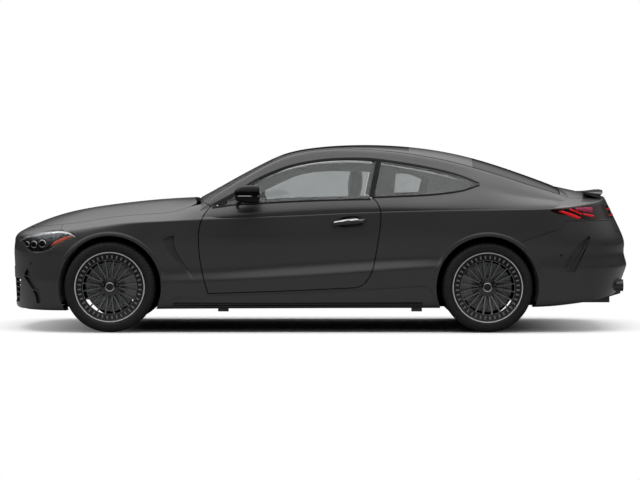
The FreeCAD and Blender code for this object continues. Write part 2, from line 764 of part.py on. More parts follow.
bumper_region = slab("side", polygon((-2500, 1000), (-1978, 1000), (-1978, 745), (-1853, 734), (-1811, 700),
                                     (-1811, 100), (-2500, 100)), -1300, 1300)
grille_hole = slab("front", GRILLE_LINE, -2600, -2100)
lower_hole = slab("front", LOWER_INTAKE_LINE, -2600, -2100)
side_slot = slab("side", SIDE_SLOT_LINE, -1300, -500)
for fin in SIDE_SLOT_FINS:
    side_slot = side_slot.cut(slab("side", fin, -1300, -500))
side_slot = side_slot.cut(recess_floor)
bumper = panel(bumper_region, inside_bumper, arch_front, mirrored(arch_front), bonnet_hole, lamp_region,
               mirrored(lamp_region), grille_hole, lower_hole, side_slot, mirrored(side_slot),
               block(-2300, -1700, -600, 600, 100, 175))
add("front_bumper", largest(bumper))
grille_bars = [block(-2600, -2100, y - 4, y + 4, 450, 720) for y in range(-400, 401, 40)]
grille_bars += [block(-2600, -2100, -450, 450, z - 5, z + 5) for z in (484.0, 686.0)]
lower_bars = [block(-2600, -2100, -620, 620, z - 4, z + 4) for z in (250, 290, 330, 370)]
lower_bars += [block(-2600, -2100, y - 4, y + 4, 200, 420) for y in (-400, -200, 0, 200, 400)]
grille = inside_skin.common(grille_hole).cut(inside_bumper).common(fused(*grille_bars))
low_grille = inside_skin.common(lower_hole).cut(inside_bumper).common(fused(*lower_bars))
add("front_grille", group([grille, low_grille]))
lamp = panel(lamp_region, inside_frame, bonnet_hole, arch_front)
add("headlamps", group([largest(lamp), mirrored(largest(lamp))]))

bonnet = largest(panel(slab("plan", BONNET_LINE, 600, 1500), inside_lid))
axis_x, axis_z = BONNET_AXIS
bonnet_lugs = []
for side in (-1, 1):
    inboard = side * (BONNET_HINGE_Y - 13)
    lug = block(axis_x - 16, axis_x + 12, inboard - 5, inboard + 5, axis_z - 12, axis_z + 60)
    bonnet_lugs.append(lug.common(inside_skin))
    pin_end = side * (BONNET_HINGE_Y + 7)
    bonnet_lugs.append(rod(PIN_RADIUS, (axis_x, inboard, axis_z), (axis_x, pin_end, axis_z)))
add("bonnet", fused(bonnet, *bonnet_lugs))
screen = panel(screen_hole, inside_glass, bonnet_hole)
add("windscreen", largest(screen))
roof_glass_region = slab("plan", ROOF_GLASS_LINE, 1200, 1600)
add("roof_panel", largest(panel(roof_hole, inside_frame, roof_glass_region)))
add("roof_glass", largest(panel(roof_glass_region, inside_glass)))
seal_hole = slab("plan", grown(DECK_LINE, SEAL_GAP), 759, 1500)
add("rear_window", largest(panel(back_hole, inside_glass, seal_hole)))
lid_region = slab("plan", DECK_LINE, 765, 1500)
lid_lamp_region = block(2100, 2600, -596, -150, 866, 962)
lid = largest(panel(lid_region, inside_lid))
axis_x, axis_z = LID_AXIS
for side in (-1, 1):
    y = side * LID_HINGE_Y
    lid = lid.cut(block(axis_x - 66, axis_x + 24, y - 16, y + 16, 900, axis_z + 13))
    lid = lid.fuse(rod(PIN_RADIUS, (axis_x, y - 20, axis_z), (axis_x, y + 20, axis_z)))
spoiler_sections = []
for y, rear_x, tip_z in SPOILER_STATIONS:
    corners = [(rear_x - 150, deck_top(rear_x - 150) - 14), (rear_x - 150, deck_top(rear_x - 150) - 1),
               (rear_x - 90, deck_top(rear_x - 90) + (tip_z - 1050) * 0.45), (rear_x, tip_z),
               (rear_x + 3, tip_z - 5), (rear_x - 22, tip_z - 32), (rear_x - 40, 1026)]
    spots = [placed(x, y, z) for x, z in corners]
    spoiler_sections.append(Part.makePolygon(spots + spots[:1]))
lid = lid.fuse(Part.makeLoft(spoiler_sections, True, True))
lid_lamps = [lid.common(lid_lamp_region), lid.common(mirrored(lid_lamp_region))]
add("boot_lid", lid.cut(lid_lamp_region).cut(mirrored(lid_lamp_region)))
add("lid_lamps", group(lid_lamps))

side_region = slab("side", polygon((-1250, 100), (-1250, 282), (-817, 282), (-817, 958), (-957, 1030),
                                   (-957, 1500), (2500, 1500), (2500, 851), (1866, 851), (1826, 792),
                                   (1538, 696), (1275, 500), (1275, 100)), -1300, 0)
quarter = panel(side_region, inside_frame, arch_front, arch_rear, door_hole, glass_hole, quarter_hole,
                screen_hole, roof_hole, back_hole, deck_hole, tail_lamp_region,
                block(-1300, 2600, -SILL_INNER, 0, 0, 850))
sill = outer.common(block(-1205, 880, -1300, -SILL_INNER, 100, 330))
skirt = proud_skin.common(slab("side", SKIRT_LINE, -1300, -SILL_INNER - 60))
sill = sill.fuse(skirt).cut(door_hole).cut(arch_front).cut(arch_rear).cut(wing)
pillar = inside_skin.common(block(-985, PILLAR_BACK, -842, -SILL_INNER, 200, 930))
arms = []
for height in HINGE_HEIGHTS:
    low, high = height - EYE_HALF, height + EYE_HALF
    arms.append(block(PILLAR_BACK - 5, HINGE_X + 12, ARM_OUTER, ARM_INNER, low, high))
    arms.append(block(HINGE_X - 12, HINGE_X + 12, HINGE_Y, ARM_INNER, low, high))
    arms.append(rod(EYE_RADIUS, (HINGE_X, HINGE_Y, low), (HINGE_X, HINGE_Y, high)))
pads = [block(x - 40, x + 40, -800, -740, 155, 200) for x in (-740, 740)]
frame = fused(largest(quarter), largest(sill), pillar, *arms, *pads)
for height in HINGE_HEIGHTS:
    low, high = height - 2 * EYE_HALF, height + 2 * EYE_HALF
    frame = frame.cut(rod(PIN_RADIUS + PIN_CLEARANCE, (HINGE_X, HINGE_Y, low), (HINGE_X, HINGE_Y, high)))
add_pair("side_frame", frame)
add("quarter_windows", group([largest(panel(quarter_hole, inside_glass)),
                              mirrored(largest(panel(quarter_hole, inside_glass)))]))
tail_lamp = largest(panel(tail_lamp_region, inside_frame, deck_hole))
add("tail_lamps", group([tail_lamp, mirrored(tail_lamp)]))
rear_bumper_region = slab("side", polygon((1275, 100), (1275, 500), (1538, 693), (1826, 789), (1866, 848),
                                          (2600, 848), (2600, 100)), -1300, 1300)
rear_bumper = panel(rear_bumper_region, inside_bumper, arch_rear, mirrored(arch_rear), deck_hole,
                    block(1200, 2240, -640, 640, 100, 300),
                    *[rod(TIP_RADIUS + 0.3, (TIP_START - 4, y, TIP_HEIGHT), (2500, y, TIP_HEIGHT))
                      for y in TIP_PLACES])
vent = slab("side", REAR_VENT_LINE, -1300, -500).cut(recess_floor)
vent = vent.cut(slab("side", REAR_VENT_BLADE, -1300, -500))
fins = [slab("side", DIFFUSER_LINE, y - DIFFUSER_FIN / 2, y + DIFFUSER_FIN / 2) for y in DIFFUSER_PLACES]
add("rear_bumper", fused(largest(rear_bumper.cut(vent).cut(mirrored(vent))), *fins))


# Doors

DOOR_INNER = 790.0
door = outer.common(slab("side", DOOR_LINE, -1300, -DOOR_INNER))
lugs = []
for height in HINGE_HEIGHTS:
    door = door.cut(block(-960, HINGE_X + 35, HINGE_Y - EYE_RADIUS - 2, -700, height - 45, height + 45))
    for low in (height - 34, height + 20):
        lugs.append(block(HINGE_X - 12, HINGE_X + 40, HINGE_Y - 12, HINGE_Y + 12, low, low + 14))
    lugs.append(rod(PIN_RADIUS, (HINGE_X, HINGE_Y, height - 34), (HINGE_X, HINGE_Y, height + 34)))
cup = slab("side", HANDLE_CUP_LINE, -1300, -800).cut(recess_floor)
handle = proud_skin.cut(recess_floor).common(slab("side", HANDLE_LINE, -1300, -800))
door = fused(largest(door).cut(cup), handle, *lugs)
add_pair("door", door)
door_slab = slab("side", DOOR_LINE, -1300, -300)
add_pair("door_glass", largest(panel(slab("side", GLASS_LINE, -1300, -300), inside_glass, door_slab)))


def rounded_section(x, y, z, half_width, half_height):
    """A wire across the car with the outline of a rounded rectangle: |y|^3 + |z|^3 = 1, stretched."""
    spots = []
    for turn in range(0, 360, 15):
        c, s = math.cos(math.radians(turn)), math.sin(math.radians(turn))
        reach = (abs(c) ** 3 + abs(s) ** 3) ** (-1 / 3)
        spots.append(Vector(x, y + half_width * reach * c, z + half_height * reach * s))
    spline = Part.BSplineCurve()
    spline.interpolate(spots, PeriodicFlag=True)
    return Part.Wire(spline.toShape())


MIRROR_MIDDLE = (-965.0, 1052.0)
MIRROR_SECTIONS = ((-649, 26, 16), (-640, 60, 38), (-612, 84, 58), (-560, 98, 69), (-500, 101, 71),
                   (-461, 97, 67))
mirror_y, mirror_z = MIRROR_MIDDLE
shells = [rounded_section(x, mirror_y, mirror_z, half_width, half_height)
          for x, half_width, half_height in MIRROR_SECTIONS]
mirror_case = Part.makeLoft(shells, True, False)
glass_well = Part.makeLoft([rounded_section(-470, mirror_y, mirror_z, 88, 58),
                            rounded_section(-440, mirror_y, mirror_z, 92, 62)], True, True)
stem = Part.makeLoft([rounded_section(x, y, z, 16, 26)
                      for x, y, z in ((-640, -838, 950), (-620, -880, 985), (-590, -925, 1010))], True, False)
add_pair("mirror", fused(mirror_case.cut(glass_well), stem).cut(outer))

# Floor, bulkheads and front frame

floor = fused(
    block(-985, 860, -SILL_INNER, SILL_INNER, 180, 196),
    block(860, 1180, -550, 550, 180, 196),
    block(-985, 635, -120, 120, 190, 340),
    block(1165, 1180, -550, 550, 180, 300),
    block(-1005, -985, -700, 700, 180, 873),
    block(1240, 1258, -550, 550, 300, 900).common(inside_frame),
    block(1165, 2200, -550, 550, 296, 314),
    block(2185, 2200, -560, 560, 296, 750),
    block(2185, 2400, -590, 590, 735, 750).common(inside_bumper),
    block(1250, 1860, -550, 550, 885, 900),
    block(1250, 2190, -560, -545, 296, 890),
    block(1250, 2190, 545, 560, 296, 890),
    block(2195, 2420, -420, 420, 420, 520).common(inside_bumper),
)
axis_x, axis_z = LID_AXIS
for side in (-1, 1):
    y = side * LID_HINGE_Y
    bracket = fused(
        block(1840, axis_x + 12, y - 12, y + 12, 885, 900),
        block(axis_x - 8, axis_x + 8, y - 10, y + 10, 890, axis_z),
        rod(11, (axis_x, y - 10, axis_z), (axis_x, y + 10, axis_z)),
    )
    pin_hole = rod(PIN_RADIUS + PIN_CLEARANCE, (axis_x, y - 30, axis_z), (axis_x, y + 30, axis_z))
    floor = floor.fuse(bracket).cut(pin_hole)
add("floor_pan", floor.removeSplitter())

rails = [block(-2250, -1005, -474, -404, 330, 430), block(-2250, -1005, 404, 474, 330, 430)]
beam = block(-2420, -2230, -500, 500, 408, 472).common(inside_bumper)
radiator = block(-2150, -2110, -440, 440, 230, 740)
add("front_frame", fused(*rails, beam, radiator))

axis_x, axis_z = BONNET_AXIS
tray_edge, riser_edge = screen_edge(-876), screen_edge(-890)
tray = slab("plan", [cross_run(-876, -48), [(-876, -tray_edge), (-1030, -660)],
                     [(-1030, -660), (-1030, 660)], [(-1030, 660), (-876, tray_edge)]], 873, 885)
tray = tray.common(block(-1100, -800, -690, 690, 800, 1000))
riser = slab("plan", [cross_run(-890, -48), [(-890, -riser_edge), (-876, -tray_edge)],
                      cross_run(-876, -48)[::-1], [(-876, tray_edge), (-890, riser_edge)]], 880, 1100)
riser = riser.common(inside_glass).common(block(-1100, -800, -690, 690, 800, 1100))
cowl = fused(tray, riser)
for side in (-1, 1):
    y = side * BONNET_HINGE_Y
    cowl = cowl.fuse(block(axis_x - 10, axis_x + 10, y - 5, y + 5, 880, axis_z))
    cowl = cowl.fuse(rod(BONNET_EYE, (axis_x, y - 5, axis_z), (axis_x, y + 5, axis_z)))
    cowl = cowl.cut(rod(PIN_RADIUS + PIN_CLEARANCE, (axis_x, y - 30, axis_z), (axis_x, y + 30, axis_z)))
add("cowl_panel", cowl)

# Wheel arch liners

liners = []
for axle, radius, well, room in ((FRONT_AXLE, WHEEL_RADIUS, FRONT_WELL, inside_skin),
                                 (REAR_AXLE, REAR_WHEEL_RADIUS, REAR_WELL, inside_frame)):
    drum = rod(ARCH_RADIUS + LINER, (axle, -1300, radius), (axle, -well + LINER, radius))
    hollow = rod(ARCH_RADIUS, (axle, -1301, radius), (axle, -well, radius))
    liner = drum.cut(hollow).common(room).cut(block(axle - 500, axle + 500, -1300, 0, 0, 230))
    liner = liner.cut(block(axle - 150, axle + 150, -well - 10, 0, 0, 520))
    for other in ("front_bumper", "rear_bumper", "headlamps", "side_frame_left", "floor_pan", "front_frame"):
        liner = liner.cut(PARTS[other].Shape)
    liner = largest(liner)
    liners += [liner, mirrored(liner)]
add("arch_liners", group(liners))

# Wheels, at the left of the car, with w measured outwards from the wheel's middle plane

FRONT_WHEEL_Y = -size("front_wheel_offset")
REAR_WHEEL_Y = -size("rear_wheel_offset")
SPINDLE_RADIUS = size("spindle_radius")
POST_RADIUS = 20.0
KINGPIN_W = -37.0
SPOKE_PAIRS = 10
WINDOWS = 40
HALF_LENGTH = "(sizes.front_overhang + sizes.wheelbase + sizes.rear_overhang) / 2"
AXLE_PLACE = {"front": f"sizes.front_overhang - {HALF_LENGTH}",
              "rear": f"{HALF_LENGTH} - sizes.rear_overhang"}


def turned(points):
    """A ring from (radius, w) points, turned about the wheel's axle."""
    face = Part.Face(Part.makePolygon([Vector(r, -w, 0) for r, w in points + points[:1]]))
    return face.revolve(Vector(0, 0, 0), Vector(0, 1, 0), 360)


def ring_between(r0, r1, w0, w1):
    return turned([(r0, w0), (r1, w0), (r1, w1), (r0, w1)])


def tyre(end, body):
    """A tyre's ring: beads, sidewalls that bulge, rounded shoulders and a nearly flat tread."""
    radius, half = f"sizes.{end}_tyre_radius", f"sizes.{end}_tyre_width / 2"
    side = [("sizes.bead_radius + 0.3", f"{half} - 23.3"), ("sizes.bead_radius + 15", f"{half} - 23.3"),
            ("sizes.bead_radius + 19", f"{half} - 10"), (f"{radius} - 62", f"{half} - 1.5"),
            (f"{radius} - 42", half), (f"{radius} - 24", f"{half} - 3"), (f"{radius} - 9", f"{half} - 12"),
            (f"{radius} - 2.5", f"{half} - 27"), (radius, f"{half} - 60")]
    section = outline(body, "section", "XY_Plane", side + [(r, f"-({w})") for r, w in reversed(side)])
    ring = revolved(body, "ring", section)
    rounded(body, "sidewall_bulge", ring, 8,
            lambda edge: isinstance(edge.Curve, Part.Circle) and edge.Curve.Radius > size("bead_radius") + 25)


def rim(end, body):
    """A turned hub, ten pairs of lofted spokes, a barrel and an outer band with small windows."""
    face = f"(sizes.{end}_tyre_width / 2 - 19)"
    back = f"(sizes.{end}_tyre_width / 2 - 5)"
    bore = "sizes.spindle_radius + sizes.pin_clearance"
    hub_section = outline(body, "hub_section", "XY_Plane", [
        (bore, 12), (46, 12), (46, -40), (78, -40), (76, -80), (70, -86), (38, -92), (36, -99), (30, -101),
        (0, -101), (0, -60), (bore, -60)])
    revolved(body, "hub", hub_section)
    spokes = []
    for name, lean in (("left", -1), ("right", 1)):
        sections = []
        for place, r, turn, half, deep, high in (
                ("root", 62, 5, 8, "46", "84"), ("tip", 214, 9, 6, f"{face} - 24", face)):
            middle = r * math.sin(math.radians(lean * turn))
            sections.append(outline(body, f"{name}_{place}", "YZ_Plane", [
                (f"-({high})", middle - 0.6 * half), (f"-({deep})", middle - half),
                (f"-({deep})", middle + half), (f"-({high})", middle + 0.6 * half)], r))
        loft = body.newObject("PartDesign::AdditiveLoft", f"{name}_spoke")
        loft.Profile = sections[0]
        loft.Sections = sections[1:]
        loft.Ruled = True
        spokes.append(loft)
    repeated(body, "spokes", spokes, hub_section, SPOKE_PAIRS)
    bead = "sizes.bead_radius"
    ring = [(bead, f"18 - {back}"), (f"{bead} + 12", f"16 - {back}"), (f"{bead} + 12", f"9 - {back}"),
            (f"{bead} - 8", f"9 - {back}"), (f"{bead} - 18", f"40 - {back}"),
            (f"{bead} - 18", f"{face} - 30"), (f"{bead} - 48", f"{face} - 24"), (f"{bead} - 48", face),
            (f"{bead} - 8", face), (f"{bead} - 5", f"{face} + 6"), (f"{bead} + 14", f"{face} + 6"),
            (f"{bead} + 14", f"{face} - 2"), (bead, f"{face} - 4")]
    barrel = outline(body, "barrel_section", "XY_Plane", [(r, f"-({w})") for r, w in ring])
    revolved(body, "barrel", barrel)
    window = outline(body, "window_section", "XZ_Plane", [
        (f"{bead} - 33", -10.5), (f"{bead} - 33", 10.5), (f"{bead} - 13", 12), (f"{bead} - 13", -12)],
        f"{face} + 1")
    cut = body.newObject("PartDesign::Pocket", "window")
    cut.Profile = window
    cut.Length = 27
    repeated(body, "windows", [cut], hub_section, WINDOWS)


def disc(end, body):
    """A vented brake disc: two friction rings with a slot all round between them, on a turned bell."""
    half = "sizes.disc_width / 2"
    section = outline(body, "section", "XY_Plane", [(r, f"-({w})") for r, w in [
        (56, f"13 + {half} - 2"), (56, f"13 - {half}"), ("sizes.disc_radius", f"13 - {half}"),
        ("sizes.disc_radius", f"13 - {half} + 11"), ("sizes.disc_radius - 12", f"13 - {half} + 11"),
        ("sizes.disc_radius - 12", f"13 + {half} - 11"), ("sizes.disc_radius", f"13 + {half} - 11"),
        ("sizes.disc_radius", f"13 + {half}"), (90, f"13 + {half}"), (84, f"25 + {half}"),
        (56, f"25 + {half}")]])
    revolved(body, "disc", section)


def caliper(middle_angle):
    ring = ring_between(118, 216, -30, 56).cut(ring_between(100, 196, -8, 34))
    spread = math.radians(26)
    turn = math.radians(middle_angle)
    wedge = Part.Face(Part.makePolygon([
        Vector(0, 100, 0),
        Vector(400 * math.cos(turn - spread), 100, 400 * math.sin(turn - spread)),
        Vector(400 * math.cos(turn + spread), 100, 400 * math.sin(turn + spread)),
        Vector(0, 100, 0)])).extrude(Vector(0, -250, 0))
    return ring.common(wedge)


def knuckle(reach, caliper_angle):
    """An upright with its spindle and the caliper's bracket, on the steering axis."""
    post = Part.makeCylinder(POST_RADIUS, 2 * reach, Vector(0, -KINGPIN_W, -reach))
    pins = Part.makeCylinder(9, 2 * reach + 44, Vector(0, -KINGPIN_W, -reach - 22))
    spindle = Part.makeCylinder(SPINDLE_RADIUS, 95, Vector(0, -KINGPIN_W, 0), Vector(0, -1, 0))
    turn = 1 if abs(caliper_angle) < 90 else -1
    bracket = block(min(0, turn * 160), max(0, turn * 160), 14, 34, -30, 30)
    return fused(post, pins, spindle, bracket).cut(caliper(caliper_angle))


Y_AXIS = Vector(0, 1, 0)
BALL_REACH = 110.0


def at_wheel(shape, axle, y, radius):
    moved = shape.copy()
    moved.translate(Vector(axle, y, radius))
    return moved


WHEEL_PIECES = {"tyre": tyre, "rim": rim, "brake_disc": disc}
for end in ("front", "rear"):
    for piece, make in WHEEL_PIECES.items():
        body = DOCUMENT.addObject("PartDesign::Body", f"{piece}_{end}_left")
        make(end, body)
        put(body, AXLE_PLACE[end], f"-sizes.{end}_wheel_offset", f"sizes.{end}_tyre_radius")
        keep(f"{piece}_{end}_left", body)
        keep(f"{piece}_{end}_right", mirror_image(f"{piece}_{end}_right", body))

front_knuckle = at_wheel(knuckle(BALL_REACH, 0), FRONT_AXLE, FRONT_WHEEL_Y, WHEEL_RADIUS)
add_pair("knuckle", front_knuckle)
add_pair("caliper", at_wheel(caliper(0), FRONT_AXLE, FRONT_WHEEL_Y, WHEEL_RADIUS))
kingpin_y = FRONT_WHEEL_Y - KINGPIN_W
cross = block(FRONT_AXLE - 70, FRONT_AXLE + 70, -404, 404, 200, 262)
arms = []
for z in (WHEEL_RADIUS - BALL_REACH - 12, WHEEL_RADIUS + BALL_REACH + 12):
    arms.append(block(FRONT_AXLE - 20, FRONT_AXLE + 20, kingpin_y, -380, z - 8, z + 8))
    arms.append(Part.makeCylinder(24, 16, Vector(FRONT_AXLE, kingpin_y, z - 8)))
arms.append(block(FRONT_AXLE - 20, FRONT_AXLE + 20, -404, -360, 240, WHEEL_RADIUS + BALL_REACH + 20))
arms = fused(*arms).cut(Part.makeCylinder(9.05, 500, Vector(FRONT_AXLE, kingpin_y, 100)))
add("front_subframe", fused(cross, arms, mirrored(arms)).cut(PARTS["front_frame"].Shape))

rear_knuckle = at_wheel(knuckle(BALL_REACH, 180), REAR_AXLE, REAR_WHEEL_Y, REAR_WHEEL_RADIUS)
rear_arm = block(REAR_AXLE - 40, REAR_AXLE + 40, REAR_WHEEL_Y - KINGPIN_W, -380, 215, 245)
rear_cross = block(REAR_AXLE - 80, REAR_AXLE + 80, -400, 400, 200, 296)
add("rear_subframe", fused(rear_cross, rear_knuckle, rear_arm, mirrored(rear_knuckle), mirrored(rear_arm)))
rear_caliper = at_wheel(caliper(180), REAR_AXLE, REAR_WHEEL_Y, REAR_WHEEL_RADIUS)
add("rear_calipers", group([rear_caliper, mirrored(rear_caliper)]))

# Cabin

def across_edge(edge):
    """Whether an edge runs straight across the car, as the outline's corners do."""
    return isinstance(edge.Curve, Part.Line) and abs(edge.Curve.Direction.y) > 0.99


seat = DOCUMENT.addObject("PartDesign::Body", "seat")
seat_section = outline(seat, "seat_section", "XZ_Plane", [
    (-430, 300), (-445, 410), (-415, 462), (-60, 425), (60, 520), (195, 1000), (225, 1045), (290, 1045),
    (318, 1010), (180, 430), (110, 300)])
cushion = extruded(seat, "cushion_and_back", seat_section, "sizes.seat_width")
rounded(seat, "soft_edges", cushion, 14, lambda edge: across_edge(edge) and edge.CenterOfMass.z > 350)
rest_section = outline(seat, "headrest_section", "XZ_Plane", [
    (236, 1020), (228, 1200), (252, 1245), (310, 1250), (336, 1225), (326, 1100), (296, 1020)])
headrest = extruded(seat, "headrest", rest_section, "sizes.seat_width / 2 - 10")
rounded(seat, "headrest_edges", headrest, 10, lambda edge: across_edge(edge) and edge.CenterOfMass.z > 1150)
seat.setExpression("Placement.Base.y", "-sizes.seat_middle")
rails = [block(-380, 60, -560, -520, 196, 305), block(-380, 60, -230, -190, 196, 305)]
DOCUMENT.recompute()
seat_and_rails = fused(seat.Shape, *rails)
add("front_seats", group([seat_and_rails, mirrored(seat_and_rails)]))

bench = DOCUMENT.addObject("PartDesign::Body", "rear_seat")
bench_section = outline(bench, "bench_section", "XZ_Plane", [
    (650, 196), (640, 390), (670, 425), (720, 435), (1010, 388), (1130, 820), (1165, 880), (1239, 880),
    (1239, 314), (1164, 314), (1164, 196)])
cushions = extruded(bench, "cushions", bench_section, "sizes.bench_width")
rounded(bench, "soft_edges", cushions, 16,
        lambda edge: across_edge(edge) and 340 < edge.CenterOfMass.z < 850)
keep("rear_seat", bench)
dash = slab("side", polygon((-984, 620), (-984, 868), (-880, 900), (-760, 915), (-560, 890), (-520, 830),
                            (-560, 700), (-700, 610)), -690, 690)
add("dashboard", largest(dash.common(inside_frame).cut(PARTS["cowl_panel"].Shape)))
wheel_centre = Vector(-400, -370, 935)
tilt = math.radians(25)
column = Vector(-math.cos(tilt), 0, -math.sin(tilt))
hoop = Part.makeTorus(size("steering_wheel_radius"), 15, wheel_centre, column)
boss = Part.makeCylinder(50, 40, wheel_centre - column * 10, column)
arm = size("steering_wheel_radius") - 8
spokes = [rod(12, tuple(wheel_centre), tuple(wheel_centre + Vector(0, side * arm, 0))) for side in (-1, 1)]
shaft = Part.makeCylinder(25, 260, wheel_centre, column).cut(PARTS["dashboard"].Shape)
add("steering_wheel", fused(hoop, boss, largest(shaft), *spokes))

# Engine and exhaust

engine = DOCUMENT.addObject("Part::Box", "engine")
for edge, alias in (("Length", "engine_length"), ("Width", "engine_width"), ("Height", "engine_height")):
    engine.setExpression(edge, f"sizes.{alias}")
put(engine, AXLE_PLACE["front"] + " - 300", "-sizes.engine_width / 2", "sizes.engine_bottom")
keep("engine", engine)

silencer = DOCUMENT.addObject("Part::Box", "silencer")
silencer.Length, silencer.Width, silencer.Height = 285, 1240, 81
silencer.Placement.Base = Vector(1950, -620, 215)
exhaust_pieces = [silencer]
for number_of_tip, y in enumerate(TIP_PLACES, start=1):
    sleeve = DOCUMENT.addObject("Part::Cylinder", f"tip_{number_of_tip}")
    sleeve.setExpression("Radius", "sizes.tip_radius")
    bore = DOCUMENT.addObject("Part::Cylinder", f"bore_{number_of_tip}")
    bore.setExpression("Radius", "sizes.tip_radius - sizes.tip_wall")
    for pipe, start in ((sleeve, TIP_START), (bore, TIP_MOUTH)):
        pipe.Height = TIP_END - TIP_START
        pipe.Placement = FreeCAD.Placement(Vector(start, y, 0), FreeCAD.Rotation(Y_AXIS, 90))
        pipe.setExpression("Placement.Base.z", "sizes.tip_height")
    hollow_tip = DOCUMENT.addObject("Part::Cut", f"hollow_tip_{number_of_tip}")
    hollow_tip.Base, hollow_tip.Tool = sleeve, bore
    riser = DOCUMENT.addObject("Part::Cylinder", f"riser_{number_of_tip}")
    riser.Radius = 16
    riser.Placement.Base = Vector(TIP_START + 17, y, 262)
    riser.setExpression("Height", "sizes.tip_height - 262")
    exhaust_pieces += [hollow_tip, riser]
exhaust = DOCUMENT.addObject("Part::MultiFuse", "exhaust")
exhaust.Shapes = exhaust_pieces
exhaust.Refine = True
keep("exhaust", exhaust)


# Checks and files

DOCUMENT.recompute()
for thing in DOCUMENT.Objects:
    if {"Invalid", "Error"} & set(thing.State):
        raise RuntimeError(f"{thing.Label} failed: {thing.State}")
os.makedirs(OUTPUT_FOLDER, exist_ok=True)
for name, feature in PARTS.items():
    if feature.Shape.isNull() or not feature.Shape.isValid():
        raise RuntimeError(f"{name} has no valid shape")
    feature.Shape.exportStep(f"{OUTPUT_FOLDER}/{name}.step")
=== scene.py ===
"""Finishes, trim, lamps, tyres, seats and studio of a two-door coupe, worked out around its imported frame.

The car stands with its nose towards -X, its left side towards -Y and its tyres on the floor at z 0.
Lengths are metres. The frame's nodes keep their places. A new piece is a surface worked out from the frame:
from a node's corners, or from the body's own outer surface, measured off the panels as a height field.
Trim is made for the left side and mirrored to the right.
"""

import math
import warnings

import bmesh
import bpy
import numpy as np
from bpy.props import FloatProperty, FloatVectorProperty, IntProperty, PointerProperty
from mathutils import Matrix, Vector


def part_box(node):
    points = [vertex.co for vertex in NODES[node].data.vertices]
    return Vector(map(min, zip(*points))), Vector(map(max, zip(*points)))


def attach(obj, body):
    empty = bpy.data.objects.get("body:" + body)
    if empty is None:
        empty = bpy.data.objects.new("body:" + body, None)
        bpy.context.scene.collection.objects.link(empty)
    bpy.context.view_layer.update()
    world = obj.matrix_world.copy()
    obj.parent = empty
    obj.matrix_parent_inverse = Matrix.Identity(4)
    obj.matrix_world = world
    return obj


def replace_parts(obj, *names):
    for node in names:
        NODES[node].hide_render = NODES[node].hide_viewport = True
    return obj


bl_info = {
    "name": "Coupe car looks",
    "version": (1, 0, 0),
    "blender": (4, 5, 0),
    "location": "3D View > Sidebar > Coupe",
    "description": "Materials, trim, lamps, tyres, seats and studio of a coupe car",
    "category": "Object",
}

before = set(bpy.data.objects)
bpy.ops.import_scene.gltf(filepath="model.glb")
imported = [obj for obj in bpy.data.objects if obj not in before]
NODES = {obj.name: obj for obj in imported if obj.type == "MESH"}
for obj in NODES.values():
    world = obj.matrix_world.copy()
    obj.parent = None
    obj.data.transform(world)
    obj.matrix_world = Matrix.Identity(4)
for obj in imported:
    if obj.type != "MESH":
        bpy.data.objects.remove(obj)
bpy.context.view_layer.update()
SIDES = (("left", -1), ("right", 1))
CORNERS = [(f"{end}_{side}", outside) for end in ("front", "rear") for side, outside in SIDES]

# Outer panels, whose measured surface carries the trim

PANELS = ("front_wing_left", "front_bumper", "headlamps", "side_frame_left", "door_left", "door_glass_left",
          "quarter_windows", "tail_lamps", "rear_bumper", "boot_lid", "lid_lamps", "roof_panel", "roof_glass",
          "rear_window", "windscreen", "bonnet")

# Outlines seen from the left, as (x, z): they follow the frame's shut lines and windows

GLASS_TOP = [(-0.722, 0.972), (-0.700, 1.008), (-0.646, 1.048), (-0.560, 1.106), (-0.457, 1.168),
             (-0.360, 1.211), (-0.254, 1.251), (-0.150, 1.276), (-0.046, 1.294), (0.060, 1.306),
             (0.174, 1.312), (0.300, 1.312), (0.420, 1.305), (0.530, 1.294), (0.617, 1.280), (0.730, 1.263),
             (0.838, 1.244), (0.950, 1.220), (1.060, 1.191), (1.135, 1.164), (1.205, 1.133)]
TRIM_TOP = [(-0.838, 0.968), (-0.742, 1.020), (-0.646, 1.073), (-0.550, 1.134), (-0.457, 1.187),
            (-0.350, 1.234), (-0.254, 1.269), (-0.150, 1.295), (-0.046, 1.313), (0.060, 1.326),
            (0.174, 1.332), (0.300, 1.333), (0.396, 1.329), (0.510, 1.316), (0.617, 1.300), (0.730, 1.282),
            (0.838, 1.261), (0.950, 1.236), (1.060, 1.206), (1.150, 1.172), (1.228, 1.137)]
DOOR_BELT = [(-0.822, 0.951), (-0.700, 0.967), (-0.484, 0.981), (-0.250, 0.994), (-0.046, 1.003),
             (0.180, 1.010), (0.385, 1.014)]
QUARTER_BELT = [(0.402, 1.028), (0.560, 1.034), (0.755, 1.042), (0.937, 1.056), (1.096, 1.081), (1.222, 1.122)]
PILLAR_FRONT = [(0.372, 1.030), (0.431, 1.306)]
PILLAR_BACK = [(0.412, 1.030), (0.472, 1.302)]
LAMP_TOP = [(-2.318, 0.708), (-2.262, 0.726), (-2.180, 0.747), (-2.078, 0.765), (-1.955, 0.772),
            (-1.900, 0.760), (-1.862, 0.739)]
LAMP_BOTTOM = [(-2.318, 0.700), (-2.268, 0.662), (-2.232, 0.622), (-2.150, 0.607), (-2.087, 0.620),
               (-2.028, 0.653), (-1.862, 0.735)]
SILL_EDGE = [(-1.120, 0.206), (-0.600, 0.204), (0.100, 0.205), (0.780, 0.208)]

# Wheels. A rim's face lies RIM_DISH inside its tyre's side. The bolts' circle and the arches are radii.

BEAD_RADIUS = 0.254
SERRATIONS = 240
RIM_DISH = 0.019
SPOKE_PAIRS = 10
WINDOWS = 40
BOLTS = 5
BOLT_CIRCLE = 0.056
ARCH_RADIUS = 0.390

# Middles off the centreline, and how far a lining lies behind the body's surface

